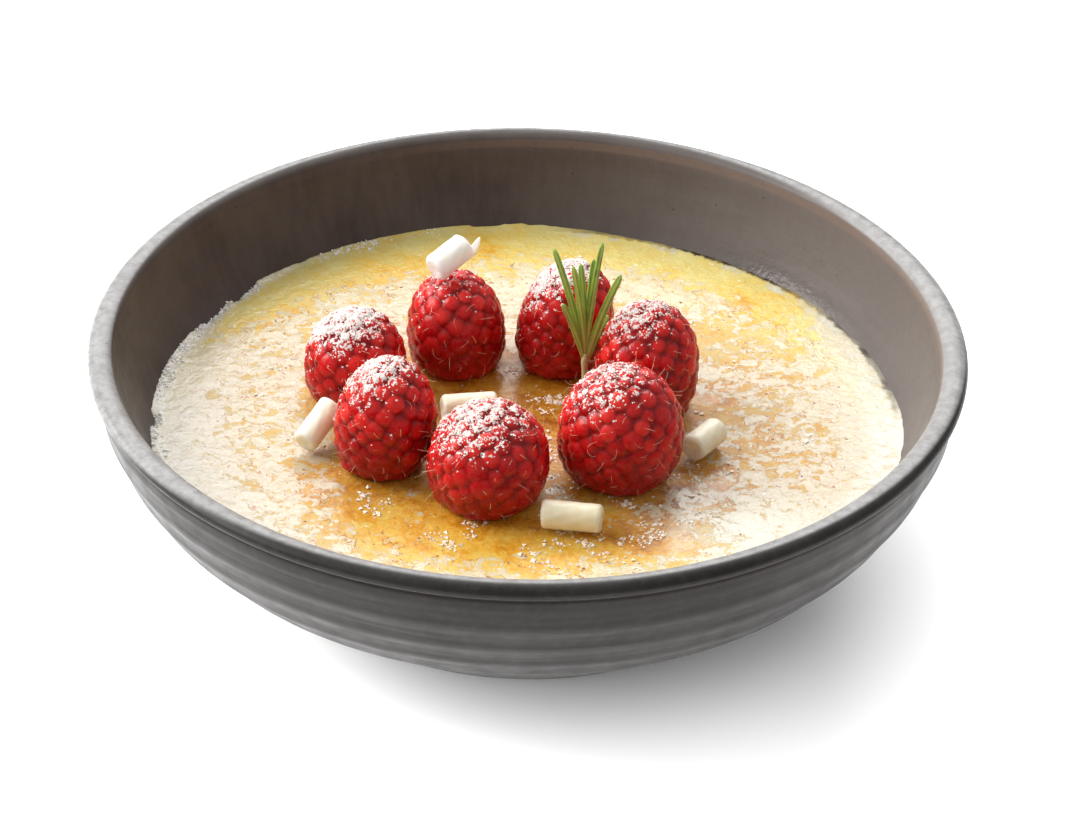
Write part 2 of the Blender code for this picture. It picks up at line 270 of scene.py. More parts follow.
def geodesic(n):
    """Unit sphere of 20 n^2 triangles."""
    gold = (1 + math.sqrt(5)) / 2
    base = np.array([(-1, gold, 0), (1, gold, 0), (-1, -gold, 0), (1, -gold, 0),
                     (0, -1, gold), (0, 1, gold), (0, -1, -gold), (0, 1, -gold),
                     (gold, 0, -1), (gold, 0, 1), (-gold, 0, -1), (-gold, 0, 1)], float)
    base /= np.linalg.norm(base, axis=1)[:, None]
    faces = [(0, 11, 5), (0, 5, 1), (0, 1, 7), (0, 7, 10), (0, 10, 11), (1, 5, 9),
             (5, 11, 4), (11, 10, 2), (10, 7, 6), (7, 1, 8), (3, 9, 4), (3, 4, 2),
             (3, 2, 6), (3, 6, 8), (3, 8, 9), (4, 9, 5), (2, 4, 11), (6, 2, 10),
             (8, 6, 7), (9, 8, 1)]
    i, j = np.meshgrid(np.arange(n + 1), np.arange(n + 1), indexing="ij")
    keep = i + j <= n
    i, j = i[keep], j[keep]
    index = -np.ones((n + 1, n + 1), int)
    index[i, j] = np.arange(len(i))
    a, b = np.meshgrid(np.arange(n), np.arange(n), indexing="ij")
    up = a + b < n
    tris = [np.stack([index[a[up], b[up]], index[a[up] + 1, b[up]],
                      index[a[up], b[up] + 1]], 1)]
    down = a + b < n - 1
    tris.append(np.stack([index[a[down] + 1, b[down]], index[a[down] + 1, b[down] + 1],
                          index[a[down], b[down] + 1]], 1))
    tris = np.concatenate(tris)
    points, faces_out = [], []
    for number, (p, q, r) in enumerate(faces):
        w = np.stack([n - i - j, i, j], 1) / n
        # even out the spacing
        w = np.sin(w * math.radians(63.4)) / math.sin(math.radians(63.4))
        flat = w @ base[[p, q, r]]
        points.append(flat / np.linalg.norm(flat, axis=1)[:, None])
        faces_out.append(tris + number * len(i))
    points, faces_out = np.concatenate(points), np.concatenate(faces_out)
    _, first, inverse = np.unique(np.round(points, 6), axis=0, return_index=True,
                                  return_inverse=True)
    return points[first], inverse.reshape(-1)[faces_out]


# ============================================================================
# materials
# ============================================================================
class Look:
    """A node material, built by short calls."""

    def __init__(self, name):
        self.material = bpy.data.materials.new(name)
        self.material.use_nodes = True
        self.tree = self.material.node_tree
        self.tree.nodes.clear()
        self.place = self.node("TexCoord").outputs["Object"]

    def node(self, kind, props=None, **inputs):
        made = self.tree.nodes.new("ShaderNode" + kind)
        for key, value in (props or {}).items():
            setattr(made, key, value)
        for key, value in inputs.items():
            self.put(made.inputs[key.replace("_", " ")], value)
        return made

    def put(self, socket, value):
        if isinstance(value, bpy.types.NodeSocket):
            self.tree.links.new(value, socket)
        elif isinstance(value, tuple) and socket.type == "RGBA" and len(value) == 3:
            socket.default_value = (*value, 1.0)
        else:
            socket.default_value = value

    def math(self, operation, a, b=0.0, clamp=False):
        made = self.node("Math", {"operation": operation, "use_clamp": clamp})
        self.put(made.inputs[0], a)
        if len(made.inputs) > 1:
            self.put(made.inputs[1], b)
        return made.outputs[0]

    def vmath(self, operation, a, b=(0.0, 0.0, 0.0)):
        made = self.node("VectorMath", {"operation": operation})
        self.put(made.inputs[0], a)
        self.put(made.inputs[1], b)
        return made.outputs[0]

    def scaled(self, vector, by):
        made = self.node("VectorMath", {"operation": "SCALE"})
        self.put(made.inputs[0], vector)
        self.put(made.inputs["Scale"], by)
        return made.outputs[0]

    def mix(self, share, a, b, blend="MIX"):
        made = self.node("Mix", {"data_type": "RGBA", "blend_type": blend})
        self.put(made.inputs[0], share)
        self.put(made.inputs[6], a)
        self.put(made.inputs[7], b)
        return made.outputs[2]

    def between(self, value, low, high, to_low=0.0, to_high=1.0, smooth_step=True):
        made = self.node("MapRange", {"interpolation_type":
                                      "SMOOTHSTEP" if smooth_step else "LINEAR"})
        for key, number in (("Value", value), ("From Min", low), ("From Max", high),
                            ("To Min", to_low), ("To Max", to_high)):
            self.put(made.inputs[key], number)
        return made.outputs[0]

    def noise(self, size, detail=2.0, rough=0.5, distort=0.0, at=None):
        """Noise with features about size mm across."""
        made = self.node("TexNoise", Scale=1.0 / (size * MM), Detail=detail,
                         Roughness=rough, Distortion=distort)
        self.put(made.inputs["Vector"], at or self.place)
        return made.outputs[0]

    def cells(self, size, feature="F1", at=None, random=1.0):
        made = self.node("TexVoronoi", {"feature": feature}, Scale=1.0 / (size * MM),
                         Randomness=random)
        self.put(made.inputs["Vector"], at or self.place)
        return made

    def attribute(self, name):
        return self.node("Attribute", {"attribute_name": name}).outputs["Fac"]

    def ramp(self, value, stops, kind="LINEAR"):
        made = self.node("ValToRGB")
        made.color_ramp.interpolation = kind
        while len(made.color_ramp.elements) < len(stops):
            made.color_ramp.elements.new(0.5)
        for element, (at, colour) in zip(made.color_ramp.elements, stops):
            element.position = at
            element.color = (*colour, 1.0)
        self.put(made.inputs[0], value)
        return made.outputs[0]

    def warped(self, by, size, detail=2.0):
        """The place, pushed about by noise: by and size in mm."""
        made = self.node("TexNoise", Scale=1.0 / (size * MM), Detail=detail)
        self.put(made.inputs["Vector"], self.place)
        push = self.vmath("SUBTRACT", made.outputs["Color"], (0.5, 0.5, 0.5))
        return self.vmath("ADD", self.place, self.scaled(push, 2.0 * by * MM))

    def bump(self, height, distance, strength=1.0, under=None):
        made = self.node("Bump", Strength=strength, Distance=distance * MM)
        self.put(made.inputs["Height"], height)
        if under is not None:
            self.put(made.inputs["Normal"], under)
        return made.outputs[0]

    def finish(self, **inputs):
        shader = self.node("BsdfPrincipled")
        for key, value in inputs.items():
            self.put(shader.inputs[key.replace("_", " ")], value)
        out = self.node("OutputMaterial")
        self.tree.links.new(shader.outputs[0], out.inputs["Surface"])
        return self.material


def stoneware_look():
    look = Look("stoneware_glaze")
    inner, thin_glaze_and_highlight = look.attribute("inner"), look.attribute("thin_glaze_and_highlight")
    under, film = look.attribute("under"), look.attribute("film")
    painted_ridge_highlight, roll = look.attribute("painted_ridge_highlight"), look.attribute("roll")
    cloud = look.noise(17.0, 3.0, 0.5)
    mottle = look.noise(1.7, 3.0, 0.6)
    grain = look.noise(0.30, 2.0, 0.6)
    # brush marks run up the wall: noise on (angle, height)
    split = look.node("SeparateXYZ", Vector=look.place)
    angle = look.math("ARCTAN2", split.outputs["Y"], split.outputs["X"])
    around = look.node("CombineXYZ", X=look.math("MULTIPLY", angle, 60.0 * MM),
                       Y=look.math("MULTIPLY", split.outputs["Z"], 0.20))
    brushed = look.noise(1.5, 3.0, 0.6, at=around.outputs[0])
    outside = look.mix(look.between(cloud, 0.30, 0.70), (0.0175, 0.0153, 0.0142),
                       (0.0265, 0.0236, 0.0218))
    inside = look.mix(look.between(cloud, 0.30, 0.70), (0.066, 0.052, 0.047),
                      (0.097, 0.080, 0.072))
    inside = look.mix(look.between(brushed, 0.35, 0.72, 0.0, 0.30), inside,
                      (0.125, 0.105, 0.092))
    # painted light: the inside wall is painted brighter towards the right, where light falls on it
    inside = look.mix(look.math("MULTIPLY", look.attribute("painted_lit_side"), 0.75), inside,
                      (0.178, 0.157, 0.147))
    colour = look.mix(inner, outside, inside)
    colour = look.mix(look.between(mottle, 0.42, 0.78, 0.0, 0.17), colour,
                      (0.086, 0.080, 0.076))
    colour = look.mix(look.between(grain, 0.52, 0.80, 0.0, 0.25), colour,
                      (0.026, 0.023, 0.021))
    # the glaze is thin on edges, where the clay shows through; at the inner lip this band is also a
    # painted highlight
    wear_and_highlight = look.math("MULTIPLY", thin_glaze_and_highlight, look.between(mottle, 0.20, 0.60, 0.45, 1.0))
    colour = look.mix(wear_and_highlight, colour, (0.215, 0.155, 0.126))
    # painted shade: darker under the rim roll, at the neck, on the body just below the rim and round
    # the foot
    colour = look.mix(look.math("MULTIPLY", under, 0.85), colour, (0.013, 0.010, 0.008))
    # painted highlight: the crests of the throwing rings are painted brighter
    colour = look.mix(look.math("MULTIPLY", painted_ridge_highlight, 0.17), colour, (0.075, 0.070, 0.066))
    # painted highlight on the rim roll
    colour = look.mix(look.math("MULTIPLY", roll, look.between(mottle, 0.2, 0.8, 0.55, 0.95)),
                      colour, (0.365, 0.357, 0.350))
    pits = look.cells(2.3)
    pit = look.math("MULTIPLY", look.between(pits.outputs["Distance"], 0.06, 0.10, 1.0, 0.0),
                    look.between(pits.outputs["Color"], 0.70, 0.76))
    colour = look.mix(look.math("MULTIPLY", pit, 0.65), colour, (0.014, 0.012, 0.011))
    rough = look.between(look.noise(4.0, 3.0), 0.3, 0.7, 0.34, 0.44)
    rough = look.math("SUBTRACT", rough, look.math("MULTIPLY", film, 0.27))
    rough = look.math("SUBTRACT", rough, look.math("MULTIPLY", roll, 0.10))
    shape = look.math("ADD", look.math("MULTIPLY", mottle, 0.6),
                      look.math("MULTIPLY", grain, 0.25))
    shape = look.math("SUBTRACT", shape, look.math("MULTIPLY", pit, 0.6))
    normal = look.bump(shape, 0.030, 0.5)
    blots = look.noise(1.0, 2.0, 0.6)
    normal = look.bump(look.math("MULTIPLY", blots, film), 0.20, 0.8, under=normal)
    return look.finish(Base_Color=colour, Roughness=rough, IOR=1.27, Normal=normal)


def custard_look():
    look = Look("custard_caramel")
    caramel, froth = look.attribute("caramel"), look.attribute("froth")
    pale, wet = look.attribute("pale"), look.attribute("wet")
    speck = look.attribute("speck")
    bent = look.warped(0.9, 2.2)
    squiggle = look.noise(1.3, 3.0, 0.55, 0.8, at=bent)
    broad = look.noise(5.5, 3.0, 0.55)
    fine = look.noise(0.38, 3.0, 0.6)
    crumb = look.noise(0.75, 3.0, 0.65, at=bent)
    # how burnt: the map, made uneven
    amount = look.math("ADD", caramel, look.between(squiggle, 0.3, 0.7, -0.13, 0.13, False))
    amount = look.math("ADD", amount, look.between(broad, 0.3, 0.7, -0.14, 0.14, False))
    colour = look.ramp(amount, (
        (0.00, (0.560, 0.460, 0.195)), (0.20, (0.560, 0.415, 0.140)),
        (0.40, (0.590, 0.360, 0.068)), (0.60, (0.550, 0.245, 0.020)),
        (0.82, (0.350, 0.110, 0.006)), (1.0, (0.190, 0.050, 0.005))))
    # painted light: the colour is made brighter along the back wall and at the front, where less light
    # falls
    colour = look.mix(1.0, colour, look.mix(look.attribute("clear"), (1.0, 1.0, 1.0),
                                            (1.34, 1.42, 1.30)), "MULTIPLY")
    colour = look.mix(look.math("MULTIPLY", pale, 0.55), colour, (0.530, 0.488, 0.348))
    # short lines and specks where the sugar caught
    burnt = look.math("MULTIPLY", look.between(crumb, 0.50, 0.58), speck)
    colour = look.mix(look.math("MULTIPLY", burnt, 0.80), colour, (0.590, 0.235, 0.026))
    # a cream skin lies over it, torn into flakes, with crisp edges
    drift = look.noise(2.6, 4.0, 0.60, 0.5, at=bent)
    tear = look.math("ADD", look.math("MULTIPLY", drift, 0.66),
                     look.math("MULTIPLY", crumb, 0.34))
    reach = look.between(look.attribute("skin"), 0.0, 1.0, 0.330, 0.665, False)
    skin = look.between(look.math("SUBTRACT", reach, tear), -0.006, 0.012)
    cream = look.mix(look.between(broad, 0.35, 0.65), (0.560, 0.462, 0.335),
                     (0.535, 0.458, 0.305))
    cream = look.mix(look.between(crumb, 0.35, 0.62, 0.0, 0.5), cream, (0.610, 0.540, 0.425))
    # painted light: the cream skin too is brighter along the back wall and at the front
    cream = look.mix(1.0, cream, look.mix(look.attribute("clear"), (1.0, 1.0, 1.0),
                                          (1.24, 1.27, 1.20)), "MULTIPLY")
    colour = look.mix(look.math("MULTIPLY", skin, 0.88), colour, cream)
    line = look.math("ABSOLUTE", look.math("SUBTRACT", look.noise(2.6, 2.0, 0.5, 0.4, at=bent), 0.5))
    line = look.between(line, 0.008, 0.022, 1.0, 0.0)
    some = look.between(look.noise(2.1, 2.0), 0.50, 0.62)
    line = look.math("MULTIPLY", look.math("MULTIPLY", line, some),
                     look.attribute("lined"))
    colour = look.mix(line, colour, (0.420, 0.180, 0.040))
    seeds = look.cells(3.0, at=bent)
    dot = look.math("MULTIPLY", look.between(seeds.outputs["Distance"], 0.07, 0.12, 1.0, 0.0),
                    look.between(seeds.outputs["Color"], 0.45, 0.52))
    dot = look.math("MULTIPLY", dot, look.attribute("lined"))
    colour = look.mix(dot, colour, (0.20, 0.070, 0.016))
    # whitish dots: crumbs of sugar that melted only in part, and painted glints
    crystals = look.cells(0.85, at=bent)
    glint = look.math("MULTIPLY", look.between(crystals.outputs["Distance"], 0.12, 0.24, 1.0, 0.0),
                      look.between(crystals.outputs["Color"], 0.60, 0.66))
    glint = look.math("MULTIPLY", glint, look.between(look.noise(3.4, 2.0, 0.6), 0.48, 0.60))
    colour = look.mix(look.math("MULTIPLY", glint, 0.85), colour, (0.960, 0.900, 0.790))
    foam = look.cells(0.55)
    foam_white = look.mix(look.between(foam.outputs["Distance"], 0.15, 0.55), (0.93, 0.92, 0.87),
                          (0.70, 0.68, 0.56))
    colour = look.mix(froth, colour, foam_white)
    white = look.math("MULTIPLY", pale, look.between(tear, 0.58, 0.50))
    colour = look.mix(look.math("MULTIPLY", white, 0.8), colour, (0.680, 0.655, 0.560))
    # painted shade: a dark line along the gap where the custard shrank from the wall at the back right
    colour = look.mix(look.attribute("edge"), colour, (0.045, 0.028, 0.016))
    shape = look.math("ADD", look.math("MULTIPLY", look.noise(3.2, 2.0, 0.5, 0.3, at=bent), 1.0),
                      look.math("MULTIPLY", squiggle, 0.42))
    shape = look.math("ADD", shape, look.math("MULTIPLY", crumb, look.math(
        "ADD", 0.30, look.math("MULTIPLY", speck, 0.20))))
    shape = look.math("ADD", shape, look.math("MULTIPLY", fine, 0.035))
    shape = look.math("ADD", shape, look.math("MULTIPLY", skin, 0.15))
    rough_part = look.between(wet, 0.0, 1.0, 1.0, 0.55, False)
    normal = look.bump(look.math("MULTIPLY", shape, rough_part), 0.42, 0.65)
    rough = look.between(look.noise(2.2, 3.0), 0.3, 0.7, 0.045, 0.11)
    rough = look.math("ADD", rough, look.math("MULTIPLY", froth, 0.25))
    rough = look.math("ADD", rough, look.math("MULTIPLY", wet, 0.12))
    # where the skin is torn the custard is duller, unless melted sugar set on it
    bare = look.math("MULTIPLY", look.math("SUBTRACT", 1.0, skin),
                     look.between(look.attribute("lined"), 0.0, 1.0, 0.04, 0.34, False))
    rough = look.math("ADD", rough, look.math("MULTIPLY", bare, look.between(wet, 0.0, 1.0, 1.0, 0.25)))
    return look.finish(Base_Color=colour, Roughness=rough, IOR=1.47, Normal=normal,
                       Subsurface_Weight=0.15,
                       Subsurface_Radius=(1.0, 0.55, 0.18), Subsurface_Scale=0.0018)


def berry_look():
    look = Look("raspberry_flesh")
    crease, vary = look.attribute("crease"), look.attribute("vary")
    dust, base = look.attribute("dust"), look.attribute("base")
    fine = look.noise(0.20, 3.0, 0.6)
    skin = look.noise(0.9, 3.0, 0.6)
    colour = look.ramp(vary, ((0.0, (0.50, 0.004, 0.006)), (0.5, (0.63, 0.008, 0.009)),
                              (1.0, (0.78, 0.024, 0.017))))
    # painted shade: darker in the creases between the drupelets
    colour = look.mix(look.between(crease, 0.15, 0.80), colour, (0.28, 0.002, 0.003))
    bloom = look.math("MULTIPLY", look.between(crease, 0.30, 0.0, 0.0, 0.12),
                      look.between(skin, 0.40, 0.75))
    colour = look.mix(bloom, colour, (0.78, 0.17, 0.13))
    # painted shade: darker towards the bottom, reaching higher up on berries 3 and 4
    colour = look.mix(look.math("MULTIPLY", base, 0.72), colour, (0.250, 0.002, 0.003))
    # fine down catches the light on what faces up
    colour = look.mix(look.math("MULTIPLY", look.attribute("down"),
                                look.between(skin, 0.25, 0.70, 0.0, 0.14)),
                      colour, (0.80, 0.130, 0.105))
    # powder: the heavier the dust, the more of the fine noise turns white
    cover = look.math("ADD", dust, look.between(fine, 0.25, 0.75, -0.35, 0.35, False))
    white = look.between(cover, 0.45, 0.70)
    colour = look.mix(look.math("MULTIPLY", white, 0.92), colour, (0.93, 0.86, 0.87))
    rough = look.mix(white, look.between(skin, 0.3, 0.7, 0.20, 0.34), (0.9, 0.9, 0.9))
    shape = look.math("ADD", look.math("MULTIPLY", fine, 0.25), skin)
    normal = look.bump(shape, 0.045, 0.5)
    normal = look.bump(white, 0.05, 0.6, under=normal)
    return look.finish(Base_Color=colour, Roughness=rough, IOR=1.34, Normal=normal,
                       Subsurface_Weight=0.60,
                       Subsurface_Radius=(1.0, 0.13, 0.09), Subsurface_Scale=0.0028)


def hair_look():
    look = Look("raspberry_style")
    along = look.attribute("along")
    colour = look.ramp(along, ((0.0, (0.55, 0.10, 0.06)), (0.25, (0.90, 0.62, 0.40)),
                               (1.0, (0.95, 0.84, 0.66))))
    return look.finish(Base_Color=colour, Roughness=0.35, IOR=1.45,
                       Subsurface_Weight=0.2, Subsurface_Scale=0.0003)


def sugar_look(name, low, high):
    look = Look(name)
    shade = look.noise(0.5, 2.0)
    colour = look.mix(look.between(shade, 0.3, 0.7), low, high)
    return look.finish(Base_Color=colour, Roughness=0.45, IOR=1.5)


def chocolate_look():
    look = Look("white_chocolate")
    along, edge = look.attribute("along"), look.attribute("edge")
    bent = look.warped(0.3, 2.0)
    streak = look.noise(2.2, 3.0, 0.6, at=bent)
    fine = look.noise(0.35, 2.0, 0.5)
    colour = look.mix(look.between(streak, 0.35, 0.7), (0.85, 0.745, 0.510), (0.90, 0.825, 0.625))
    colour = look.mix(look.between(edge, 0.0, 1.0, 0.0, 0.30), colour, (0.92, 0.87, 0.70))
    # painted light: each curl painted brighter by its own share
    colour = look.mix(look.attribute("white"), colour, (0.97, 0.955, 0.90))
    normal = look.bump(look.math("ADD", streak, look.math("MULTIPLY", fine, 0.15)), 0.03, 0.5)
    return look.finish(Base_Color=colour, Roughness=0.36, IOR=1.45, Normal=normal,
                       Subsurface_Weight=0.60, Subsurface_Radius=(1.0, 0.82, 0.55),
                       Subsurface_Scale=0.0040)


def rosemary_look():
    look = Look("rosemary_leaf")
    along, rib = look.attribute("along"), look.attribute("rib")
    woody, vary = look.attribute("woody"), look.attribute("vary")
    grain = look.noise(0.4, 3.0, 0.6)
    patch = look.noise(2.5, 2.0, 0.5)
    leaf = look.mix(look.between(patch, 0.3, 0.7), (0.062, 0.155, 0.008), (0.170, 0.350, 0.018))
    leaf = look.mix(look.math("MULTIPLY", vary, 0.55), leaf, (0.270, 0.450, 0.035))
    leaf = look.mix(look.math("MULTIPLY", rib, 0.85), leaf, (0.66, 0.74, 0.24))
    leaf = look.mix(look.between(along, 0.0, 0.45, 0.60, 0.0), leaf, (0.36, 0.42, 0.13))
    leaf = look.mix(look.between(grain, 0.55, 0.8, 0.0, 0.25), leaf, (0.32, 0.40, 0.12))
    stem = look.mix(look.between(grain, 0.35, 0.7), (0.42, 0.42, 0.17), (0.56, 0.54, 0.33))
    colour = look.mix(woody, leaf, stem)
    normal = look.bump(grain, 0.05, 0.6)
    return look.finish(Base_Color=colour, Roughness=0.36, IOR=1.42, Normal=normal,
                       Subsurface_Weight=0.15, Subsurface_Radius=(0.5, 1.0, 0.25),
                       Subsurface_Scale=0.0008)


def foam_look():
    look = Look("custard_foam")
    shade = look.noise(1.2, 2.0)
    colour = look.mix(look.between(shade, 0.3, 0.7), (0.90, 0.89, 0.82), (0.96, 0.96, 0.93))
    return look.finish(Base_Color=colour, Roughness=0.14, IOR=1.40)


# ============================================================================
# bowl
# ============================================================================
def bowl():
    """One profile turned through a full circle, with the throwing rings and the
    slight unevenness of a hand-thrown bowl."""
    # radius, height, inner, thin glaze and painted lip highlight, painted shade under the rim, painted
    # highlight on the ridges, how much it may wobble, place on the roll
    rows = []
    for r in np.linspace(0.0, 30.0, 14)[:-1]:
        rows.append((r, FLOOR_TOP, 1.0, 0.0, 0.0, 0.0, 0.0, 0.0))
    heights = np.concatenate([np.linspace(FLOOR_TOP, 26.0, 24)[:-1],
                              np.linspace(26.0, 47.6, 62)])
    for h, r in zip(heights, smooth_curve(INSIDE, heights)):
        # the inner lip's band of thinned glaze, also a painted highlight
        wear_and_highlight = 0.95 * math.exp(-((h - 47.9) / 0.5) ** 2)
        rows.append((r, h, 1.0, wear_and_highlight, 0.0, 0.0, float(smooth(48.2, 46.0, h)), 0.0))
    centre = RIM_RADIUS - ROLL_WIDE
    for degrees in np.linspace(170.0, -62.0, 50):
        a = math.radians(degrees)
        inner = float(smooth(70.0, 150.0, degrees))
        # thinned glaze at the inner edge of the roll, also a painted highlight
        thin_glaze_and_highlight = 0.95 * math.exp(-((degrees - 177.0) / 11.0) ** 2)
        # painted shade on the underside of the roll
        under = max(float(smooth(16.0, -12.0, degrees)),
                    0.45 * math.exp(-((degrees - 28.0) / 22.0) ** 2))
        rows.append((centre + ROLL_WIDE * math.cos(a), RIM_HEIGHT - ROLL_HIGH
                     + ROLL_HIGH * math.sin(a), inner, thin_glaze_and_highlight, under, 0.0, 0.0, degrees))
    rows.append((NECK_RADIUS + 0.03, NECK_HEIGHT + 0.12, 0.0, 0.0, 1.0, 0.0, 0.2, 0.0))
    rows.append((NECK_RADIUS, NECK_HEIGHT, 0.0, 0.1, 0.9, 0.0, 0.3, 0.0))
    heights = np.concatenate([np.linspace(46.9, 26.0, 70), np.linspace(26.0, 1.9, 50)[1:]])
    for h, r in zip(heights, smooth_curve(BODY, heights)):
        fade = min(1.0, max(0.0, (h - 4.0) / 20.0))
        wave = math.cos(2 * math.pi * (h - 40.0) / 5.6)
        # ridges are narrower than the valleys between them
        ring = 0.15 * (2.0 * (0.5 + 0.5 * wave) ** 1.6 - 1.0) * fade
        ring *= float(smooth(46.4, 44.0, h))
        blend = float(smooth(47.2, 46.2, h))
        r = r * blend + (NECK_RADIUS + 0.05) * (1 - blend)
        # the fifth value is painted shade below the rim, the sixth a painted highlight on each ridge
        # crest
        rows.append((r + ring, h, 0.0, 0.35 * math.exp(-((h - 46.6) / 0.5) ** 2),
                     max(0.9 * math.exp(-((h - 47.1) / 0.6) ** 2), 0.5 * float(smooth(36.0, 46.5, h))),
                     max(0.0, wave) ** 2 * fade * float(smooth(46.0, 44.0, h)), 1.0 * blend, 0.0))
    for r, h in ((39.35, 1.3), (39.1, 0.7), (FOOT_RADIUS - 0.15, 0.3),
                 (FOOT_RADIUS - 0.5, 0.0), (FOOT_RADIUS - 2.6, 0.0),
                 (FOOT_RADIUS - FOOT_WIDTH, 0.0), (FOOT_RADIUS - FOOT_WIDTH - 0.5, 0.5),
                 (FOOT_RADIUS - FOOT_WIDTH - 1.2, FOOT_HOLLOW), (20.0, FOOT_HOLLOW)):
        rows.append((r, h, 0.0, 0.5 if h < 0.8 else 0.0, 0.3, 0.0, 0.0, 0.0))
    rows.append((0.0, FOOT_HOLLOW, 0.0, 0.0, 0.0, 0.0, 0.0, 0.0))
    rows = np.array(rows)

    sides = 256
    angle = 2 * math.pi * np.arange(sides) / sides
    ring = rows[1:-1]
    radius = ring[:, 0][:, None] + 0 * angle
    height = ring[:, 1][:, None] + 0 * angle
    where = height.ravel() / 9.0
    spin = np.tile(angle, len(ring))
    p = np.stack([np.cos(spin) * 2.2, np.sin(spin) * 2.2, where * 2.4], 1)
    slow = noise3(p, 5).reshape(radius.shape)
    p = np.stack([np.cos(spin) * 9.0, np.sin(spin) * 9.0, where * 14.0], 1)
    quick = noise3(p, 9).reshape(radius.shape)
    radius = radius - ring[:, 6][:, None] * (0.10 * (slow + 0.8) + 0.035 * quick)
    points = np.stack([radius * np.cos(angle), radius * np.sin(angle), height], 2).reshape(-1, 3)
    points = np.concatenate([[(0, 0, rows[0, 1])], points, [(0, 0, rows[-1, 1])]])
    k = np.arange(sides)
    n = (k + 1) % sides
    quads = []
    for j in range(len(ring) - 1):
        a, b = 1 + j * sides, 1 + (j + 1) * sides
        quads.append(np.stack([a + k, a + n, b + n, b + k], 1))
    first = np.stack([0 * k, 1 + k, 1 + n], 1)[:, [0, 1, 2]]
    a = 1 + (len(ring) - 1) * sides
    last = np.stack([a + n, a + k, 0 * k + len(points) - 1], 1)[:, [0, 1, 2]]
    marks = {}
    # the lip wore through at the right and the back, and there the band is also a painted highlight,
    # where light falls on the lip; dried custard shines on the wall at the back right
    lip_highlight_side = smooth(-0.35, 0.75, np.cos(spin - math.radians(22.0))) + 0.10
    for name, column in (("inner", 2), ("thin_glaze_and_highlight", 3), ("under", 4), ("painted_ridge_highlight", 5)):
        values = np.repeat(ring[:, column], sides)
        # the painted shade is weaker on the left, where the light falls
        if name == "under":
            values = values * (1 - 0.55 * smooth(0.35, 0.95, -np.cos(spin)))
        if name == "thin_glaze_and_highlight":
            values = values * lip_highlight_side
        marks[name] = np.concatenate([[rows[0, column]], values, [rows[-1, column]]])
    # painted highlight: the roll is painted pale where it faces the back and the left, and on its top
    # at the sides, where light falls on it
    place = np.radians(np.repeat(ring[:, 7], sides))
    faces_the_light = (0.90 * np.cos(place) * np.sin(spin) - 0.42 * np.cos(place) * np.cos(spin)
              + 0.62 * np.cos(spin) ** 2 * np.sin(place))
    painted_rim_highlight = smooth(-0.15, 0.20, faces_the_light) * smooth(-30.0, 5.0, np.degrees(place)) \
        * smooth(178.0, 160.0, np.degrees(place)) * (np.repeat(ring[:, 7], sides) != 0.0)
    marks["roll"] = np.concatenate([[0.0], painted_rim_highlight, [0.0]])
    splash = smooth(36.0 + 3.0 * slow.ravel(), 33.0, height.ravel()) * marks["inner"][1:-1]
    splash = splash * np.exp(-(((np.degrees(spin) - 44.0) / 16.0) ** 2))
    marks["film"] = np.concatenate([[0.0], splash, [0.0]])
    # painted light: the inside wall brighter towards the right
    marks["painted_lit_side"] = np.concatenate([[0.0], smooth(0.25, 0.95, np.cos(spin - 0.30)), [0.0]])
    # inside faces look at the axis, so the winding runs from the floor up
    quads = np.concatenate(quads)
    obj = make_object("stoneware_bowl", points, [first, quads, last], stoneware_look(), marks)
    return settle(obj, "stoneware", "bowl")


# ============================================================================
# custard
# ============================================================================
# where the sugar browned most: x, y, reach, amount
BURNT = (
    (-30, -33, 10, 0.26), (-14, -40, 11, 0.34), (3, -43, 12, 0.30), (20, -38, 9, 0.56),
    (-38, -24, 7, 0.26), (0, 0, 24, 0.50), (33, -22, 8, 0.46), (33, 6, 6, 0.40),
    (43, -7, 8, 0.16), (41, 40, 7, 0.22), (50, 42, 5, 0.16), (-26, 51, 8, 0.22),
    (-8, 61, 6, 0.24), (-40, 8, 5, 0.20), (-50, 28, 9, 0.14), (55, -16, 6, 0.16),
    (28, -28, 6, 0.46), (-4, 31, 10, 0.14), (42, 12, 5, 0.20), (30, -45, 7, 0.16),
)
# where it caught in fine specks: x, y, reach, amount
SPECKED = (
    (36, -4, 11, 0.8), (43, -12, 9, 0.8), (36, -25, 9, 0.7), (54, -17, 6, 0.75),
    (27, -36, 7, 0.4), (-33, 40, 9, 0.40), (-54, -18, 7, 0.30), (-58, -3, 6, 0.25),
    (48, 8, 6, 0.45), (2, -8, 16, 0.6), (14, -47, 8, 0.35), (-34, -34, 8, 0.3),
)


# where the cream skin is torn away: x, y, reach across, reach in depth, amount
TORN = (
    (-3, -6, 22, 18, 0.70), (-2, 8, 20, 8, 0.30), (-8, -40, 26, 11, 0.62), (16, -40, 14, 8, 0.40),
    (-28, -31, 9, 7, 0.38), (34, -18, 9, 8, 0.38), (37, 2, 8, 8, 0.34), (45, -8, 12, 8, 0.20),
    (27, -37, 8, 7, 0.28), (-30, 52, 22, 8, 0.45), (-48, 36, 12, 9, 0.30), (48, 30, 12, 14, 0.30),
    (-56, 6, 8, 12, 0.10), (-50, -8, 9, 9, 0.17), (-46, 22, 10, 8, 0.16), (-36, 4, 7, 8, 0.24),
    (52, -16, 8, 7, 0.18), (10, 30, 34, 9, 0.20), (32, 24, 12, 12, 0.24), (50, 8, 8, 8, 0.18),
    (-44, -26, 9, 7, 0.15), (-12, -60, 20, 6, 0.10), (-8, 26, 12, 8, -0.10),
)


def wall_at(height):
    return smooth_curve(INSIDE, height)


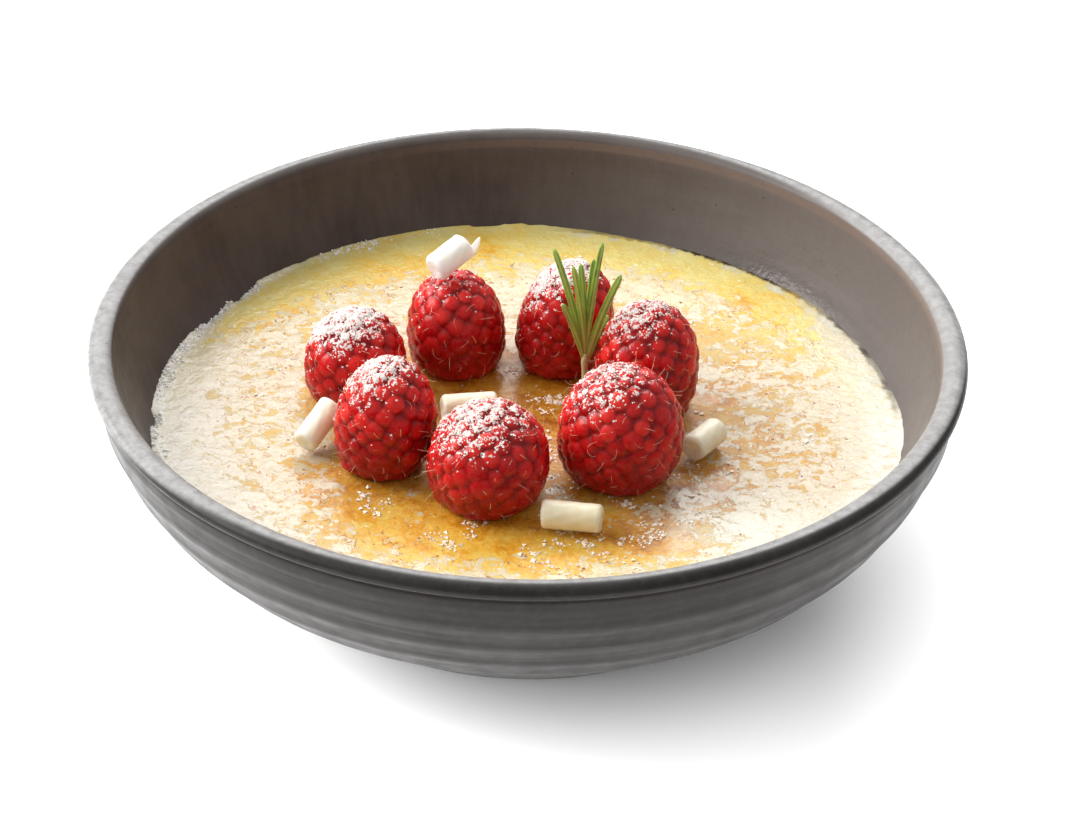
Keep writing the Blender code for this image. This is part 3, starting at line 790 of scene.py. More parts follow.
def custard_fields(x, y):
    """Height above the level, and the maps that the material reads."""
    r = np.hypot(x, y)
    angle = np.arctan2(y, x)
    edge = np.maximum(0.0, (r - 52.0) / 16.0)
    wave = 0.12 * np.sin(3 * angle + 0.7) + 0.08 * np.sin(7 * angle + 2.1)
    z = 0.20 * edge**2 + np.minimum(edge, 1.0) * wave
    z = z + 0.20 * fbm2(x / 15.0, y / 15.0, 3, 2) + 0.050 * fbm2(x / 5.0, y / 5.0, 7, 2)
    # burnt patches: soft blobs with uneven borders
    bx = x + 4.0 * fbm2(x / 9.0, y / 9.0, 21, 3)
    by = y + 4.0 * fbm2(x / 9.0 + 40, y / 9.0, 23, 3)
    caramel = np.zeros_like(x)
    for cx, cy, reach, amount in BURNT:
        caramel += amount * np.exp(-((bx - cx) ** 2 + (by - cy) ** 2) / reach**2)
    caramel = 0.11 + caramel + 0.08 * fbm2(x / 4.0, y / 4.0, 31, 3)
    speck = np.zeros_like(x)
    for cx, cy, reach, amount in SPECKED:
        speck += amount * np.exp(-((bx - cx) ** 2 + (by - cy) ** 2) / reach**2)
    speck = np.clip(speck, 0, 1) * smooth(-0.5, 0.35, fbm2(x / 3.5, y / 3.5, 37, 2))
    # where melted sugar lay thick it set smooth
    wet = smooth(0.36, 0.55, caramel + 0.12 * fbm2(x / 5.0, y / 5.0, 41, 2))
    # set bubbles: rims a little proud, floors a little low
    near, second, which = cells2(x / 1.9 + 0.6 * fbm2(x / 2.2, y / 2.2, 51, 2),
                                 y / 1.9 + 0.6 * fbm2(x / 2.2 + 9, y / 2.2, 53, 2), 61)
    rim = smooth(0.20, 0.0, second - near)
    patch = smooth(0.0, 0.45, fbm2(x / 7.0, y / 7.0, 71, 2))
    z = z + (0.045 * rim - 0.012) * patch * (1 - 0.75 * wet)
    z = z + 0.030 * fbm2(x / 2.0, y / 2.0, 81, 3) * (1 - 0.4 * wet)
    big, _, pick = cells2(x / 6.5, y / 6.5, 91)
    dome = np.maximum(0.0, 1 - (big / 0.16) ** 2) * (pick > 0.70)
    z = z + 0.09 * dome * (1 - 0.5 * wet)
    # froth at the wall, most of it at the left
    wall = wall_at(LEVEL + 0.4)
    degrees = np.degrees(angle) % 360.0
    left = smooth(118.0, 150.0, degrees) * smooth(222.0, 200.0, degrees)
    reach = 0.5 + 2.6 * left
    ragged = fbm2(x / 1.6, y / 1.6, 101, 3)
    band = smooth(wall - reach, wall - 0.35 * reach, r + (0.4 + 1.3 * left) * ragged)
    froth = band * (0.15 * smooth(20.0, -10.0, y) + 0.85 * left)
    bubbles, _, size = cells2(x / 1.1, y / 1.1, 111)
    z = z + froth * (0.14 * np.sqrt(np.maximum(0.0, 1 - (bubbles / 0.5) ** 2)) - 0.07)
    # the meniscus grips the wall, but at the back right the skin has shrunk away
    apart = smooth(-5.0, 12.0, degrees) * smooth(92.0, 70.0, degrees)
    notch = smooth(0.05, 0.45, fbm2(angle * 9.0, r * 0.02, 121, 3)) * (0.25 + 0.75 * left)
    gap = np.maximum(0.0, wall - r)
    z = z + 0.50 * (1 - apart) * (1 - notch) * np.exp(-gap / 0.7)
    z = z - (0.45 * apart * (0.55 + 0.45 * smooth(-0.3, 0.3, fbm2(angle * 6.0, r * 0.02, 131, 3)))
             + 0.9 * notch) * np.exp(-((gap / (0.70 + 0.35 * left)) ** 2))
    right = smooth(-55.0, -20.0, (degrees + 180.0) % 360.0 - 180.0) \
        * smooth(38.0, 10.0, (degrees + 180.0) % 360.0 - 180.0)
    pale = 0.95 * right * smooth(wall - 9.0, wall - 2.5, r + 2.0 * ragged)
    front_left = smooth(150.0, 200.0, degrees) * smooth(300.0, 225.0, degrees)
    pale = pale + 0.75 * front_left * smooth(48.0, 66.0, r + 3.0 * ragged)
    pale = pale + 0.35 * smooth(wall - 1.5, wall, r) * smooth(20.0, -10.0, y)
    pale = pale + 0.9 * np.exp(-(((x - 40.0) / 15.0) ** 2) - ((y + 36.0) / 10.0) ** 2)
    # it wells up against each berry
    beside = np.zeros_like(x)
    for bx0, by0, radius, height, _, _, widest, base in BERRIES.values():
        d = np.hypot(x - bx0, y - by0) - radius * base
        z = z + 0.30 * np.exp(-np.maximum(0.0, d) / 0.9)
        caramel = caramel + 0.16 * np.exp(-np.maximum(0.0, d) / 2.2)
        beside = np.maximum(beside, smooth(5.5, 0.5, d + 2.5 * ragged))
    # clear marks where the colour is painted brighter: along the back wall and at the front, where less
    # light falls
    behind = wall * np.sqrt(np.maximum(0.0, 1 - np.minimum(1.0, np.abs(x) / wall) ** 2)) - y
    clear = smooth(34.0, 14.0, behind + 5.0 * fbm2(x / 8.0, y / 8.0, 141, 2))
    front = np.exp(-(((x - 4.0) / 40.0) ** 4)) * smooth(-24.0, -36.0, y + 3.0 * ragged)
    clear = np.clip(clear + front, 0, 1)
    # how much of the cream skin is left
    skin = np.full_like(x, 0.80)
    for cx, cy, wide, deep, amount in TORN:
        skin -= amount * np.exp(-(((bx - cx) / wide) ** 2) - ((by - cy) / deep) ** 2)
    smooth_back = smooth(19.0, 8.0, behind + 3.0 * ragged) * smooth(64.0, 50.0, np.abs(x + 4.0))
    skin = skin - 0.42 * beside
    skin = skin * (1 - 0.92 * smooth_back)
    outer = smooth(56.0, 65.0, r + 2.0 * ragged) * (1 - smooth_back)
    skin = np.clip(skin + 0.22 * outer, 0, 1)
    lined = np.clip(1 - 0.9 * smooth_back - 0.7 * wet, 0, 1) * smooth(66.0, 58.0, r)
    caramel = caramel + 0.19 * lined * (1 - 0.7 * front)
    # painted shade along the gap at the back right, where the custard shrank from the wall
    painted_gap_shade = 0.5 + 0.5 * smooth(-0.2, 0.3, fbm2(angle * 7.0, r * 0.02, 151, 3))
    painted_gap_shade = apart * painted_gap_shade * smooth(1.85, 1.25, gap + 0.9 * ragged)
    broken = apart * smooth(1.3, 1.9, gap + 0.9 * ragged) * smooth(3.6, 2.4, gap + 0.9 * ragged)
    pale = pale + 1.2 * broken * smooth(-0.15, 0.2, fbm2(angle * 12.0, r * 0.02, 161, 3))
    maps = dict(caramel=np.clip(caramel, 0, 1.05), froth=froth, pale=np.clip(pale, 0, 1),
                wet=wet, speck=speck, clear=clear, skin=skin, lined=lined,
                edge=np.clip(painted_gap_shade, 0, 1))
    return z, maps


def custard():
    rings = 164
    wall = float(wall_at(LEVEL + 0.6)) + 0.25
    xs, ys = [np.zeros(1)], [np.zeros(1)]
    for i in range(1, rings + 1):
        a = 2 * math.pi * (np.arange(6 * i) + 0.5 * (i % 2)) / (6 * i)
        xs.append(wall * i / rings * np.cos(a))
        ys.append(wall * i / rings * np.sin(a))
    x, y = np.concatenate(xs), np.concatenate(ys)
    z, maps = custard_fields(x, y)
    points = np.stack([x, y, LEVEL + z], 1)
    faces = []
    start = 1
    for i in range(1, rings + 1):
        prev = start - 6 * (i - 1) if i > 1 else 0
        inner_n = 6 * (i - 1) if i > 1 else 1
        outer_n = 6 * i
        # zip the two rings together by angle
        off_in, off_out = 0.5 * ((i - 1) % 2), 0.5 * (i % 2)
        ai = (np.arange(inner_n) + off_in) / max(inner_n, 1)
        ao = (np.arange(outer_n) + off_out) / outer_n
        if i == 1:
            k = np.arange(6)
            faces.append(np.stack([0 * k, 1 + k, 1 + (k + 1) % 6], 1))
        else:
            k = np.arange(outer_n)
            mid = (ao + 0.5 / outer_n)
            low = np.round(mid * inner_n - off_in).astype(int) % inner_n
            faces.append(np.stack([prev + low, start + k, start + (k + 1) % outer_n], 1))
            k = np.arange(inner_n)
            mid = (ai + 0.5 / inner_n)
            # the outer point between inner k and k + 1
            mids = (ao + 0.5 / outer_n)
            owner = np.round(mids * inner_n - off_in).astype(int) % inner_n
            change = np.nonzero(owner != np.roll(owner, -1))[0]
            faces.append(np.stack([prev + owner[change], start + (change + 1) % outer_n,
                                   prev + owner[(change + 1) % outer_n]], 1))
        start += outer_n
    faces = np.concatenate(faces)
    # the side follows the bowl's wall down to its floor
    n = 6 * rings
    rim = len(points) - n
    a = 2 * math.pi * (np.arange(n) + 0.5 * (rings % 2)) / n
    layers, quads = [], []
    for number, h in enumerate((29.0, 24.0, 18.0, 12.0, 8.0, 6.3)):
        r = float(wall_at(h)) - (0.3 if number else 0.1)
        if h < 7:
            r = 30.0
        layers.append(np.stack([r * np.cos(a), r * np.sin(a), np.full(n, h)], 1))
    total = len(points)
    k = np.arange(n)
    m = (k + 1) % n
    for number in range(len(layers)):
        above = rim if number == 0 else total + (number - 1) * n
        below = total + number * n
        quads.append(np.stack([above + k, below + k, below + m, above + m], 1))
    points = np.concatenate([points] + layers + [[(0, 0, 6.3)]])
    below = total + (len(layers) - 1) * n
    last = np.stack([below + m, below + k, 0 * k + len(points) - 1], 1)
    extra = len(points) - len(x)
    marks = {key: np.concatenate([values, np.zeros(extra)]) for key, values in maps.items()}
    obj = make_object("set_custard", points, [faces, last, np.concatenate(quads)],
                      custard_look(), marks)
    return settle(obj, "custard", "custard")


def custard_height(x, y):
    return LEVEL + custard_fields(np.asarray(x, float), np.asarray(y, float))[0]


def foam():
    """Set bubbles that cling to the wall in ragged bunches, most at the left."""
    rng = np.random.default_rng(404)
    ball, tris = geodesic(3)
    points, faces = [], []
    total = 0
    bunch = np.concatenate([rng.uniform(106, 146, 7), rng.uniform(142, 214, 44)])
    wall = float(wall_at(LEVEL + 0.5))
    for centre in bunch:
        wide = rng.uniform(0.4, 1.9)
        for _ in range(rng.integers(7, 22)):
            a = math.radians(centre + rng.normal(0, wide))
            size = float(np.clip(rng.lognormal(math.log(0.17), 0.45), 0.08, 0.45))
            r = wall - abs(rng.normal(0, 0.9)) - 0.2 * size
            x, y = r * math.cos(a), r * math.sin(a)
            z = float(custard_height([x], [y])[0]) + rng.uniform(-0.1, 0.35) * math.exp(
                -(wall - r) / 0.8)
            lump = ball * size * np.array([1.0, 1.0, 0.8]) * rng.uniform(0.7, 1.3, 3)
            points.append(lump + (x, y, z))
            faces.append(tris + total)
            total += len(ball)
    obj = make_object("edge_foam", np.concatenate(points), [np.concatenate(faces)], foam_look())
    return settle(obj, "custard")


# ============================================================================
# raspberries
# ============================================================================
def berry_profile(radius, height, widest, base):
    """(radius, height) from the tip down the flank and across the base, with the
    corner at the base rounded."""
    line = []
    for k in range(81):
        t = 1.0 - (1.0 - widest) * math.sin(0.5 * math.pi * k / 80)
        up = (t - widest) / (1.0 - widest)
        line.append((radius * math.sqrt(max(0.0, 1.0 - up**2.3)), t * height))
    for k in range(1, 31):
        t = widest * (1.0 - k / 30)
        down = (widest - t) / widest
        line.append((radius * (1.0 - (1.0 - base) * down**2.2), t * height))
    line.append((0.0, 0.0))
    line = np.array(line)
    step = np.concatenate([[0], np.cumsum(np.linalg.norm(np.diff(line, axis=0), axis=1))])
    at = np.linspace(0, step[-1], 260)
    even = np.stack([np.interp(at, step, line[:, 0]), np.interp(at, step, line[:, 1])], 1)
    width = int(1.1 / (at[1] - at[0]))
    kernel = np.exp(-0.5 * (np.arange(-3 * width, 3 * width + 1) / width) ** 2)
    kernel /= kernel.sum()
    # mirrored past both ends, so the tip and the base stay on the axis
    left = even[1:3 * width + 1][::-1] * (-1, 1)
    right = even[-3 * width - 1:-1][::-1] * (-1, 1)
    padded = np.concatenate([left, even, right])
    soft = np.stack([np.convolve(padded[:, c], kernel, "valid") for c in (0, 1)], 1)
    corner = np.exp(-((even[:, 1]) / (0.22 * height)) ** 2)[:, None]
    out = even * (1 - corner) + soft * corner
    out[0, 0] = out[-1, 0] = 0.0
    out[:, 1] -= out[:, 1].min()
    return out


class Dome:
    """Maps the unit sphere to a berry's smooth shape, area for area."""

    def __init__(self, number):
        (self.x, self.y, self.radius, self.height, self.lean_x, self.lean_y,
         widest, base) = BERRIES[number]
        line = berry_profile(self.radius, self.height, widest, base)
        steps = np.diff(line, axis=0)
        area = np.concatenate([[0.0], np.cumsum(
            np.hypot(steps[:, 0], steps[:, 1]) * (line[1:, 0] + line[:-1, 0]))])
        self.total = math.pi * area[-1]
        self.area = area / area[-1]
        self.line = line
        slope = np.gradient(line, axis=0)
        normal = np.stack([-slope[:, 1], slope[:, 0]], axis=1)
        self.normal = normal / np.maximum(np.linalg.norm(normal, axis=1), 1e-9)[:, None]

    def place(self, units):
        share = (1.0 - units[:, 2]) / 2.0
        angle = np.arctan2(units[:, 1], units[:, 0])
        r = np.interp(share, self.area, self.line[:, 0])
        z = np.interp(share, self.area, self.line[:, 1])
        nr = np.interp(share, self.area, self.normal[:, 0])
        nz = np.interp(share, self.area, self.normal[:, 1])
        size = np.maximum(np.hypot(nr, nz), 1e-9)
        nr, nz = nr / size, nz / size
        oval = 1.0 + 0.02 * np.cos(2 * angle + self.lean_x * 3.0 + self.radius)
        r = r * oval
        t = z / self.height
        at = np.stack([self.x + self.lean_x * t + r * np.cos(angle),
                       self.y + self.lean_y * t + r * np.sin(angle), LEVEL + 0.05 + z], 1)
        out = np.stack([nr * np.cos(angle), nr * np.sin(angle), nz], 1)
        return at, out


def berry(number, look):
    rng = np.random.default_rng(1000 + number)
    dome = Dome(number)
    units, tris = geodesic(44)
    at, out = dome.place(units)
    # drupelets: centroidal cells over the dome, of uneven size
    pitch = 3.35
    count = int(dome.total / (0.866 * pitch**2))
    k = np.arange(count)
    up = np.clip(1.0 - 2.0 * (k + 0.5) / count + rng.normal(0, 0.006, count), -0.999, 0.999)
    turn = k * GOLDEN + rng.normal(0, 0.05, count)
    flat = np.sqrt(1 - up**2)
    seeds = np.stack([flat * np.cos(turn), flat * np.sin(turn), up], 1)
    centre, _ = dome.place(seeds)
    size = 1.0 + np.clip(rng.normal(0, 0.10, count), -0.22, 0.25)
    # drupelets get smaller towards the tip
    tall = (centre[:, 2] - LEVEL) / dome.height
    size *= 1.06 - 0.22 * smooth(0.62, 1.0, tall)
    for _ in range(5):
        gap = np.linalg.norm(at[:, None, :] - centre[None], axis=2) if len(at) < 6000 else None
        if gap is None:
            owner = np.empty(len(at), int)
            for s in range(0, len(at), 4000):
                d = np.linalg.norm(at[s:s + 4000, None, :] - centre[None], axis=2)
                owner[s:s + 4000] = np.argmin(d**2 - (1.7 * size[None]) ** 2, axis=1)
        else:
            owner = np.argmin(gap**2 - (1.7 * size[None]) ** 2, axis=1)
        sums = np.stack([np.bincount(owner, at[:, c], count) for c in range(3)], 1)
        members = np.maximum(np.bincount(owner, minlength=count), 1)[:, None]
        target = sums / members
        centre = centre + 0.8 * (target - centre)
    centre = centre + rng.normal(0, 0.10, centre.shape)
    # back on the dome, with its normal there
    nearest = np.empty(count, int)
    for s in range(0, count, 40):
        d = np.linalg.norm(at[None] - centre[s:s + 40, None, :], axis=2)
        nearest[s:s + 40] = np.argmin(d, axis=1)
    centre, lift = at[nearest], out[nearest]
    wide = 0.655 * pitch * size  # half axes of each drupelet
    deep = 1.42 * (0.75 + 0.25 * size)
    sink = rng.uniform(-0.16, 0.10, count)
    middle = centre - lift * (deep - sink)[:, None]
    flat_k, round_k = 1 / deep**2 - 1 / wide**2, 1 / wide**2
    # push each point out to the highest drupelet over it
    height = np.empty(len(at))
    runner = np.empty(len(at))
    owner = np.empty(len(at), int)
    beside = np.empty(len(at))
    for s in range(0, len(at), 3000):
        p, nrm = at[s:s + 3000], out[s:s + 3000]
        rel = p[:, None, :] - middle[None]
        dl = nrm @ lift.T
        ql = np.einsum("ijk,jk->ij", rel, lift)
        dq = np.einsum("ijk,ik->ij", rel, nrm)
        qq = np.einsum("ijk,ijk->ij", rel, rel)
        qa = round_k + flat_k * dl**2
        qb = dq * round_k + flat_k * dl * ql
        qc = qq * round_k + flat_k * ql**2 - 1.0
        under = qb**2 - qa * qc
        top = np.where((under > 0) & (dl > 0.2),
                       (-qb + np.sqrt(np.maximum(under, 0))) / qa, -9.0)
        order = np.argpartition(-top, 2, axis=1)[:, :3]
        picked = np.take_along_axis(top, order, 1)
        rank = np.argsort(-picked, axis=1)
        picked = np.take_along_axis(picked, rank, 1)
        order = np.take_along_axis(order, rank, 1)
        height[s:s + 3000] = picked[:, 0]
        runner[s:s + 3000] = picked[:, 1]
        owner[s:s + 3000] = order[:, 0]
        across = np.maximum(qq - ql**2, 0.0)
        beside[s:s + 3000] = np.sqrt(np.take_along_axis(across, order[:, :1], 1))[:, 0]
    height = np.maximum(height, -1.3)
    # a soft weld in the crease
    soft = 0.05
    near = np.maximum(0.0, soft - (height - np.maximum(runner, -9.0)))
    height = height + near**2 / (4 * soft) * 0.9
    height = np.maximum(height, -1.05)
    # a faint dimple where the style grew
    height = height - 0.05 * np.exp(-((beside / 0.25) ** 2))
    height = height + 0.060 * noise3(at / 2.1, 320 + number) + 0.025 * noise3(at / 0.8, 300 + number)
    points = at + out * height[:, None]
    points[:, 2] = np.maximum(points[:, 2], LEVEL - 0.05)
    normal = normals_of(points, tris)
    tall = (points[:, 2] - LEVEL) / dome.height

    # sugar lies on what faces up, thickest at the top: more of a lacy pattern is
    # white there
    load = SUGAR_LOAD[number]
    lacy = sugar_lace(points, number)
    patch = fbm3(points / 5.0, 520 + number, 2)
    up = normal @ np.array([-0.22, 0.02, 0.975])
    around = out @ np.array([-0.30, 0.05, 0.95])
    crust = smooth(0.40, 1.00, around + 0.22 * patch) * smooth(-0.05, 0.80, up)
    flecks = 0.66 * smooth(-0.65, 0.70, around + 0.42 * patch) * smooth(-0.35, 0.60, up)
    amount = np.clip((0.45 * crust + flecks) * load, 0, 1.20)
    amount = amount - 0.12 * smooth(-0.15, -0.6, height)
    limit = 0.96 - 1.00 * amount
    white = lacy - limit
    # crease: painted shade, darker in the creases
    marks = {"crease": np.clip((0.02 - height) / 0.60, 0, 1),
             "vary": rng.uniform(0, 1, count)[owner],
             "down": smooth(-0.1, 0.9, up) * smooth(-0.2, 0.6, tall),
             # base: painted shade, darker towards the bottom
             "dust": smooth(-0.02, 0.22, white), "base": smooth(0.95, 0.30, tall) if number in (3, 4) else smooth(0.70, 0.08, tall)}
    obj = make_object(f"raspberry_fruit_{number}", points, [tris], look, marks)
    settle(obj, "raspberry", f"raspberry_{number}")
    crown = centre + lift * sink[:, None]
    return dict(points=points, tris=tris, normal=normal, limit=limit,
                crown=crown, lift=lift, dome=dome)


def sugar_lace(points, number):
    """The pattern that the powder leaves, about -1 to 1."""
    return (0.50 * fbm3(points / 0.85, 500 + number, 2)
            + 0.50 * fbm3(points / 0.30, 540 + number, 2)) * 1.45


def hairs(fruits):
    """The dried styles: a fine curled hair from the middle of most drupelets."""
    rng = np.random.default_rng(88)
    points, faces, along = [], [], []
    total = 0
    steps = 8
    for number, fruit in fruits.items():
        for crown, lift in zip(fruit["crown"], fruit["lift"]):
            if crown[2] < LEVEL + 1.6 or rng.random() > 0.88:
                continue
            length = rng.uniform(1.4, 3.1)
            side = np.cross(lift, rng.normal(size=3))
            side /= np.linalg.norm(side)
            spin = np.cross(lift, side)
            way = lift * rng.uniform(0.5, 1.0) + side * rng.uniform(0.3, 1.1)
            way /= np.linalg.norm(way)
            curl = rng.uniform(-2.2, 3.2)
            twist = rng.uniform(-1.2, 1.2)
            here = crown - lift * 0.15
            step = length / steps
            line = [here]
            for s in range(steps):
                turn = (curl * (0.3 + s / steps)) / steps
                axis = spin + lift * twist
                axis /= np.linalg.norm(axis)
                way = (way * math.cos(turn) + np.cross(axis, way) * math.sin(turn)
                       + axis * np.dot(axis, way) * (1 - math.cos(turn)))
                here = here + way * step
                line.append(here)
            thick = rng.uniform(0.030, 0.046)
            for s, p in enumerate(line):
                ahead = line[min(s + 1, steps)] - line[max(s - 1, 0)]
                ahead /= np.linalg.norm(ahead)
                u = np.cross(ahead, (0.3, 0.5, 0.81))
                u /= np.linalg.norm(u)
                v = np.cross(ahead, u)
                r = thick * (1 - 0.55 * s / steps)
                for q in range(3):
                    a = 2 * math.pi * q / 3
                    points.append(p + (u * math.cos(a) + v * math.sin(a)) * r)
                    along.append(s / steps)
            for s in range(steps):
                for q in range(3):
                    w = (q + 1) % 3
                    faces.append((total + 3 * s + q, total + 3 * s + w,
                                  total + 3 * s + 3 + w, total + 3 * s + 3 + q))
            total += 3 * (steps + 1)
    ends = []
    for s in range(0, total, 3 * (steps + 1)):
        ends.append((s + 2, s + 1, s))
        e = s + 3 * steps
        ends.append((e, e + 1, e + 2))
    obj = make_object("raspberry_hairs", np.array(points), [np.array(faces), np.array(ends)],
                      hair_look(), {"along": np.array(along)})
    return settle(obj, "raspberry")


def grain_shapes():
    """The small solid of each grain: a tetrahedron, warped in scatter."""
    tetra = np.array([(1, 1, 1), (1, -1, -1), (-1, 1, -1), (-1, -1, 1)], float) * 0.62
    tetra_faces = np.array([(0, 1, 2), (0, 3, 1), (0, 2, 3), (1, 3, 2)])
    return tetra, tetra_faces


def scatter(rng, at, normal, sizes):
    """A grain at each place, turned at random, resting on the surface."""
    shape, tris = grain_shapes()
    count = len(at)
    a, b, c = (rng.uniform(0, 2 * math.pi, count) for _ in range(3))
    ca, sa, cb, sb, cc, sc = np.cos(a), np.sin(a), np.cos(b), np.sin(b), np.cos(c), np.sin(c)
    turn = np.empty((count, 3, 3))
    turn[:, 0] = np.stack([ca * cb, ca * sb * sc - sa * cc, ca * sb * cc + sa * sc], 1)
    turn[:, 1] = np.stack([sa * cb, sa * sb * sc + ca * cc, sa * sb * cc - ca * sc], 1)
    turn[:, 2] = np.stack([-sb, cb * sc, cb * cc], 1)
    warp = shape[None] * rng.uniform(0.7, 1.3, (count, len(shape), 1)) * sizes[:, None, None]
    local = np.einsum("nij,nkj->nki", turn, warp)
    # most lie flat
    local = local - 0.55 * np.einsum("nki,ni->nk", local, normal)[:, :, None] * normal[:, None, :]
    places = at + normal * (sizes * 0.22)[:, None]
    points = (local + places[:, None, :]).reshape(-1, 3)
    faces = (tris[None] + (np.arange(count) * len(shape))[:, None, None]).reshape(-1, 3)
    return points, faces


def pick_on(rng, points, tris, weight, count):
    """Random places on a triangle mesh, as likely as area times weight."""
    a, b, c = (points[tris[:, k]] for k in range(3))
    cross = np.cross(b - a, c - a)
    area = np.linalg.norm(cross, axis=1)
    chance = area * weight[tris].mean(axis=1)
    if chance.sum() <= 0:
        return np.zeros((0, 3)), np.zeros((0, 3))
    chosen = rng.choice(len(tris), count, p=chance / chance.sum())
    u, v = rng.random(count), rng.random(count)
    flip = u + v > 1
    u[flip], v[flip] = 1 - u[flip], 1 - v[flip]
    at = a[chosen] + (b - a)[chosen] * u[:, None] + (c - a)[chosen] * v[:, None]
    normal = cross[chosen] / np.maximum(area[chosen], 1e-12)[:, None]
    return at, normal


def sugar_on_berries(fruits):
    """Fine grains wherever the lace of powder is white, heaped on the crowns."""
    rng = np.random.default_rng(2024)
    points, faces, total = [], [], 0
    for number, fruit in fruits.items():
        count = 60000
        ones = np.ones(len(fruit["points"]))
        at, normal = pick_on(rng, fruit["points"], fruit["tris"], ones, count)
        limit = nearest_value(fruit["points"], fruit["limit"], at)
        over = sugar_lace(at, number) - limit
        keep = over > 0.0
        keep &= rng.random(len(at)) < smooth(-0.05, 0.30, over) * 0.75 + 0.25
        at, normal, over = at[keep], normal[keep], over[keep]
        most = 6400
        if len(at) > most:
            pick = rng.choice(len(at), most, replace=False)
            at, normal, over = at[pick], normal[pick], over[pick]
        sizes = np.clip(rng.lognormal(math.log(0.15), 0.32, len(at)), 0.09, 0.27)
        heap = normal * 0.25 + np.array([0.0, 0.0, 0.55])
        at = at + heap * (rng.uniform(0.0, 1.0, len(at)) * 0.34 * smooth(0.0, 0.6, over))[:, None]
        p, f = scatter(rng, at, normal, sizes)
        points.append(p)
        faces.append(f + total)
        total += len(p)
    obj = make_object("icing_sugar", np.concatenate(points), [np.concatenate(faces)],
                      sugar_look("icing_sugar", (0.990, 0.930, 0.865), (1.0, 0.96, 0.91)),
                      flat=True)
    return settle(obj, "white_chocolate")


def nearest_value(points, values, at):
    """The value at the nearest of the points, for each place."""
    tree = KDTree(len(points))
    for index, p in enumerate(points):
        tree.insert(p, index)
    tree.balance()
    return np.array([values[tree.find(p)[1]] for p in at])


def sugar_on_custard(look):
    """Grains and small heaps on the custard: inside the ring and round it."""
    rng = np.random.default_rng(77)
    spots = (  # x, y, spread, grains
        (-3.0, -9.5, 4.0, 200), (4.0, -12.0, 4.5, 220), (1.5, -17.5, 4.0, 150),
        (9.5, -36.0, 3.5, 90), (20.5, -37.5, 4.4, 130), (-12.0, -41.5, 6.0, 80),
        (2.0, -42.0, 5.0, 90), (14.0, -42.0, 5.0, 90), (28.0, -22.0, 4.2, 70),
        (33.0, -5.0, 4.0, 50), (-26.0, -30.5, 4.5, 80), (-37.0, -3.0, 3.0, 60),
        (4.8, 3.0, 3.0, 130), (-3.5, 14.0, 3.0, 80), (30.0, -33.0, 6.0, 60),
        (38.0, -16.0, 5.0, 40), (-42.0, 22.0, 9.0, 60), (0.0, 40.0, 16.0, 80),
        (20.0, 40.0, 14.0, 60), (0.0, 0.0, 34.0, 500), (8.0, -30.0, 20.0, 500),
    )
    xs, ys = [], []
    for x, y, spread, count in spots:
        count = int(0.62 * count)
        # grains gather round a few points within each spot
        knots = rng.normal(0, spread * 0.6, (max(3, count // 9), 2)) + (x, y)
        pick = rng.integers(0, len(knots), count)
        around = knots[pick] + rng.normal(0, min(0.9, 0.16 * spread), (count, 2))
        xs.append(around[:, 0])
        ys.append(around[:, 1])
    x, y = np.concatenate(xs), np.concatenate(ys)
    keep = np.hypot(x, y) < 66.0
    for bx, by, radius, *_ in BERRIES.values():
        keep &= np.hypot(x - bx, y - by) > radius * 0.74
    x, y = x[keep], y[keep]
    at = np.stack([x, y, custard_height(x, y)], 1)
    up = np.tile((0.0, 0.0, 1.0), (len(at), 1))
    sizes = np.clip(rng.lognormal(math.log(0.29), 0.42, len(at)), 0.13, 0.62)
    points, faces = scatter(rng, at, up, sizes)
    obj = make_object("sugar_grains", points, [faces], look, flat=True)
    return settle(obj, "white_chocolate")


# ============================================================================
# white chocolate
# ============================================================================
def axes_of(heading, tilt):
    h, t = math.radians(heading), math.radians(tilt)
    along = np.array([math.cos(h) * math.cos(t), math.sin(h) * math.cos(t), math.sin(t)])
    side = np.cross((0.0, 0.0, 1.0), along)
    side /= np.linalg.norm(side)
    return along, side, np.cross(along, side)


def sliver(line, wide, thick):
    """A flat strip along a line of points that narrows to its far end."""
    line = np.array(line, float)
    steps = 12
    place = bezier(*line, np.linspace(0, 1, steps + 1))
    points, quads = [], []
    for k in range(steps + 1):
        t = k / steps
        ahead = place[min(k + 1, steps)] - place[max(k - 1, 0)]
        ahead /= np.linalg.norm(ahead)
        across = np.cross(ahead, (0.25, -0.95, 0.1))
        across /= np.linalg.norm(across)
        deep = np.cross(across, ahead)
        w = wide / 2 * max(0.12, (1 - t) ** 0.5)
        d = thick / 2 * max(0.25, 1 - 0.7 * t)
        for a, b in ((-1, 0), (-0.7, -1), (0.7, -1), (1, 0), (0.7, 1), (-0.7, 1)):
            points.append(place[k] + across * a * w + deep * b * d)
    for k in range(steps):
        for q in range(6):
            n = (q + 1) % 6
            quads.append((6 * k + q, 6 * k + n, 6 * k + 6 + n, 6 * k + 6 + q))
    for base, turn in ((0, -1), (6 * steps, 1)):
        quads.append(tuple(base + v for v in (0, 1, 2, 5))[::turn])
        quads.append(tuple(base + v for v in (2, 3, 4, 5))[::turn])
    return np.array(points), np.array(quads)


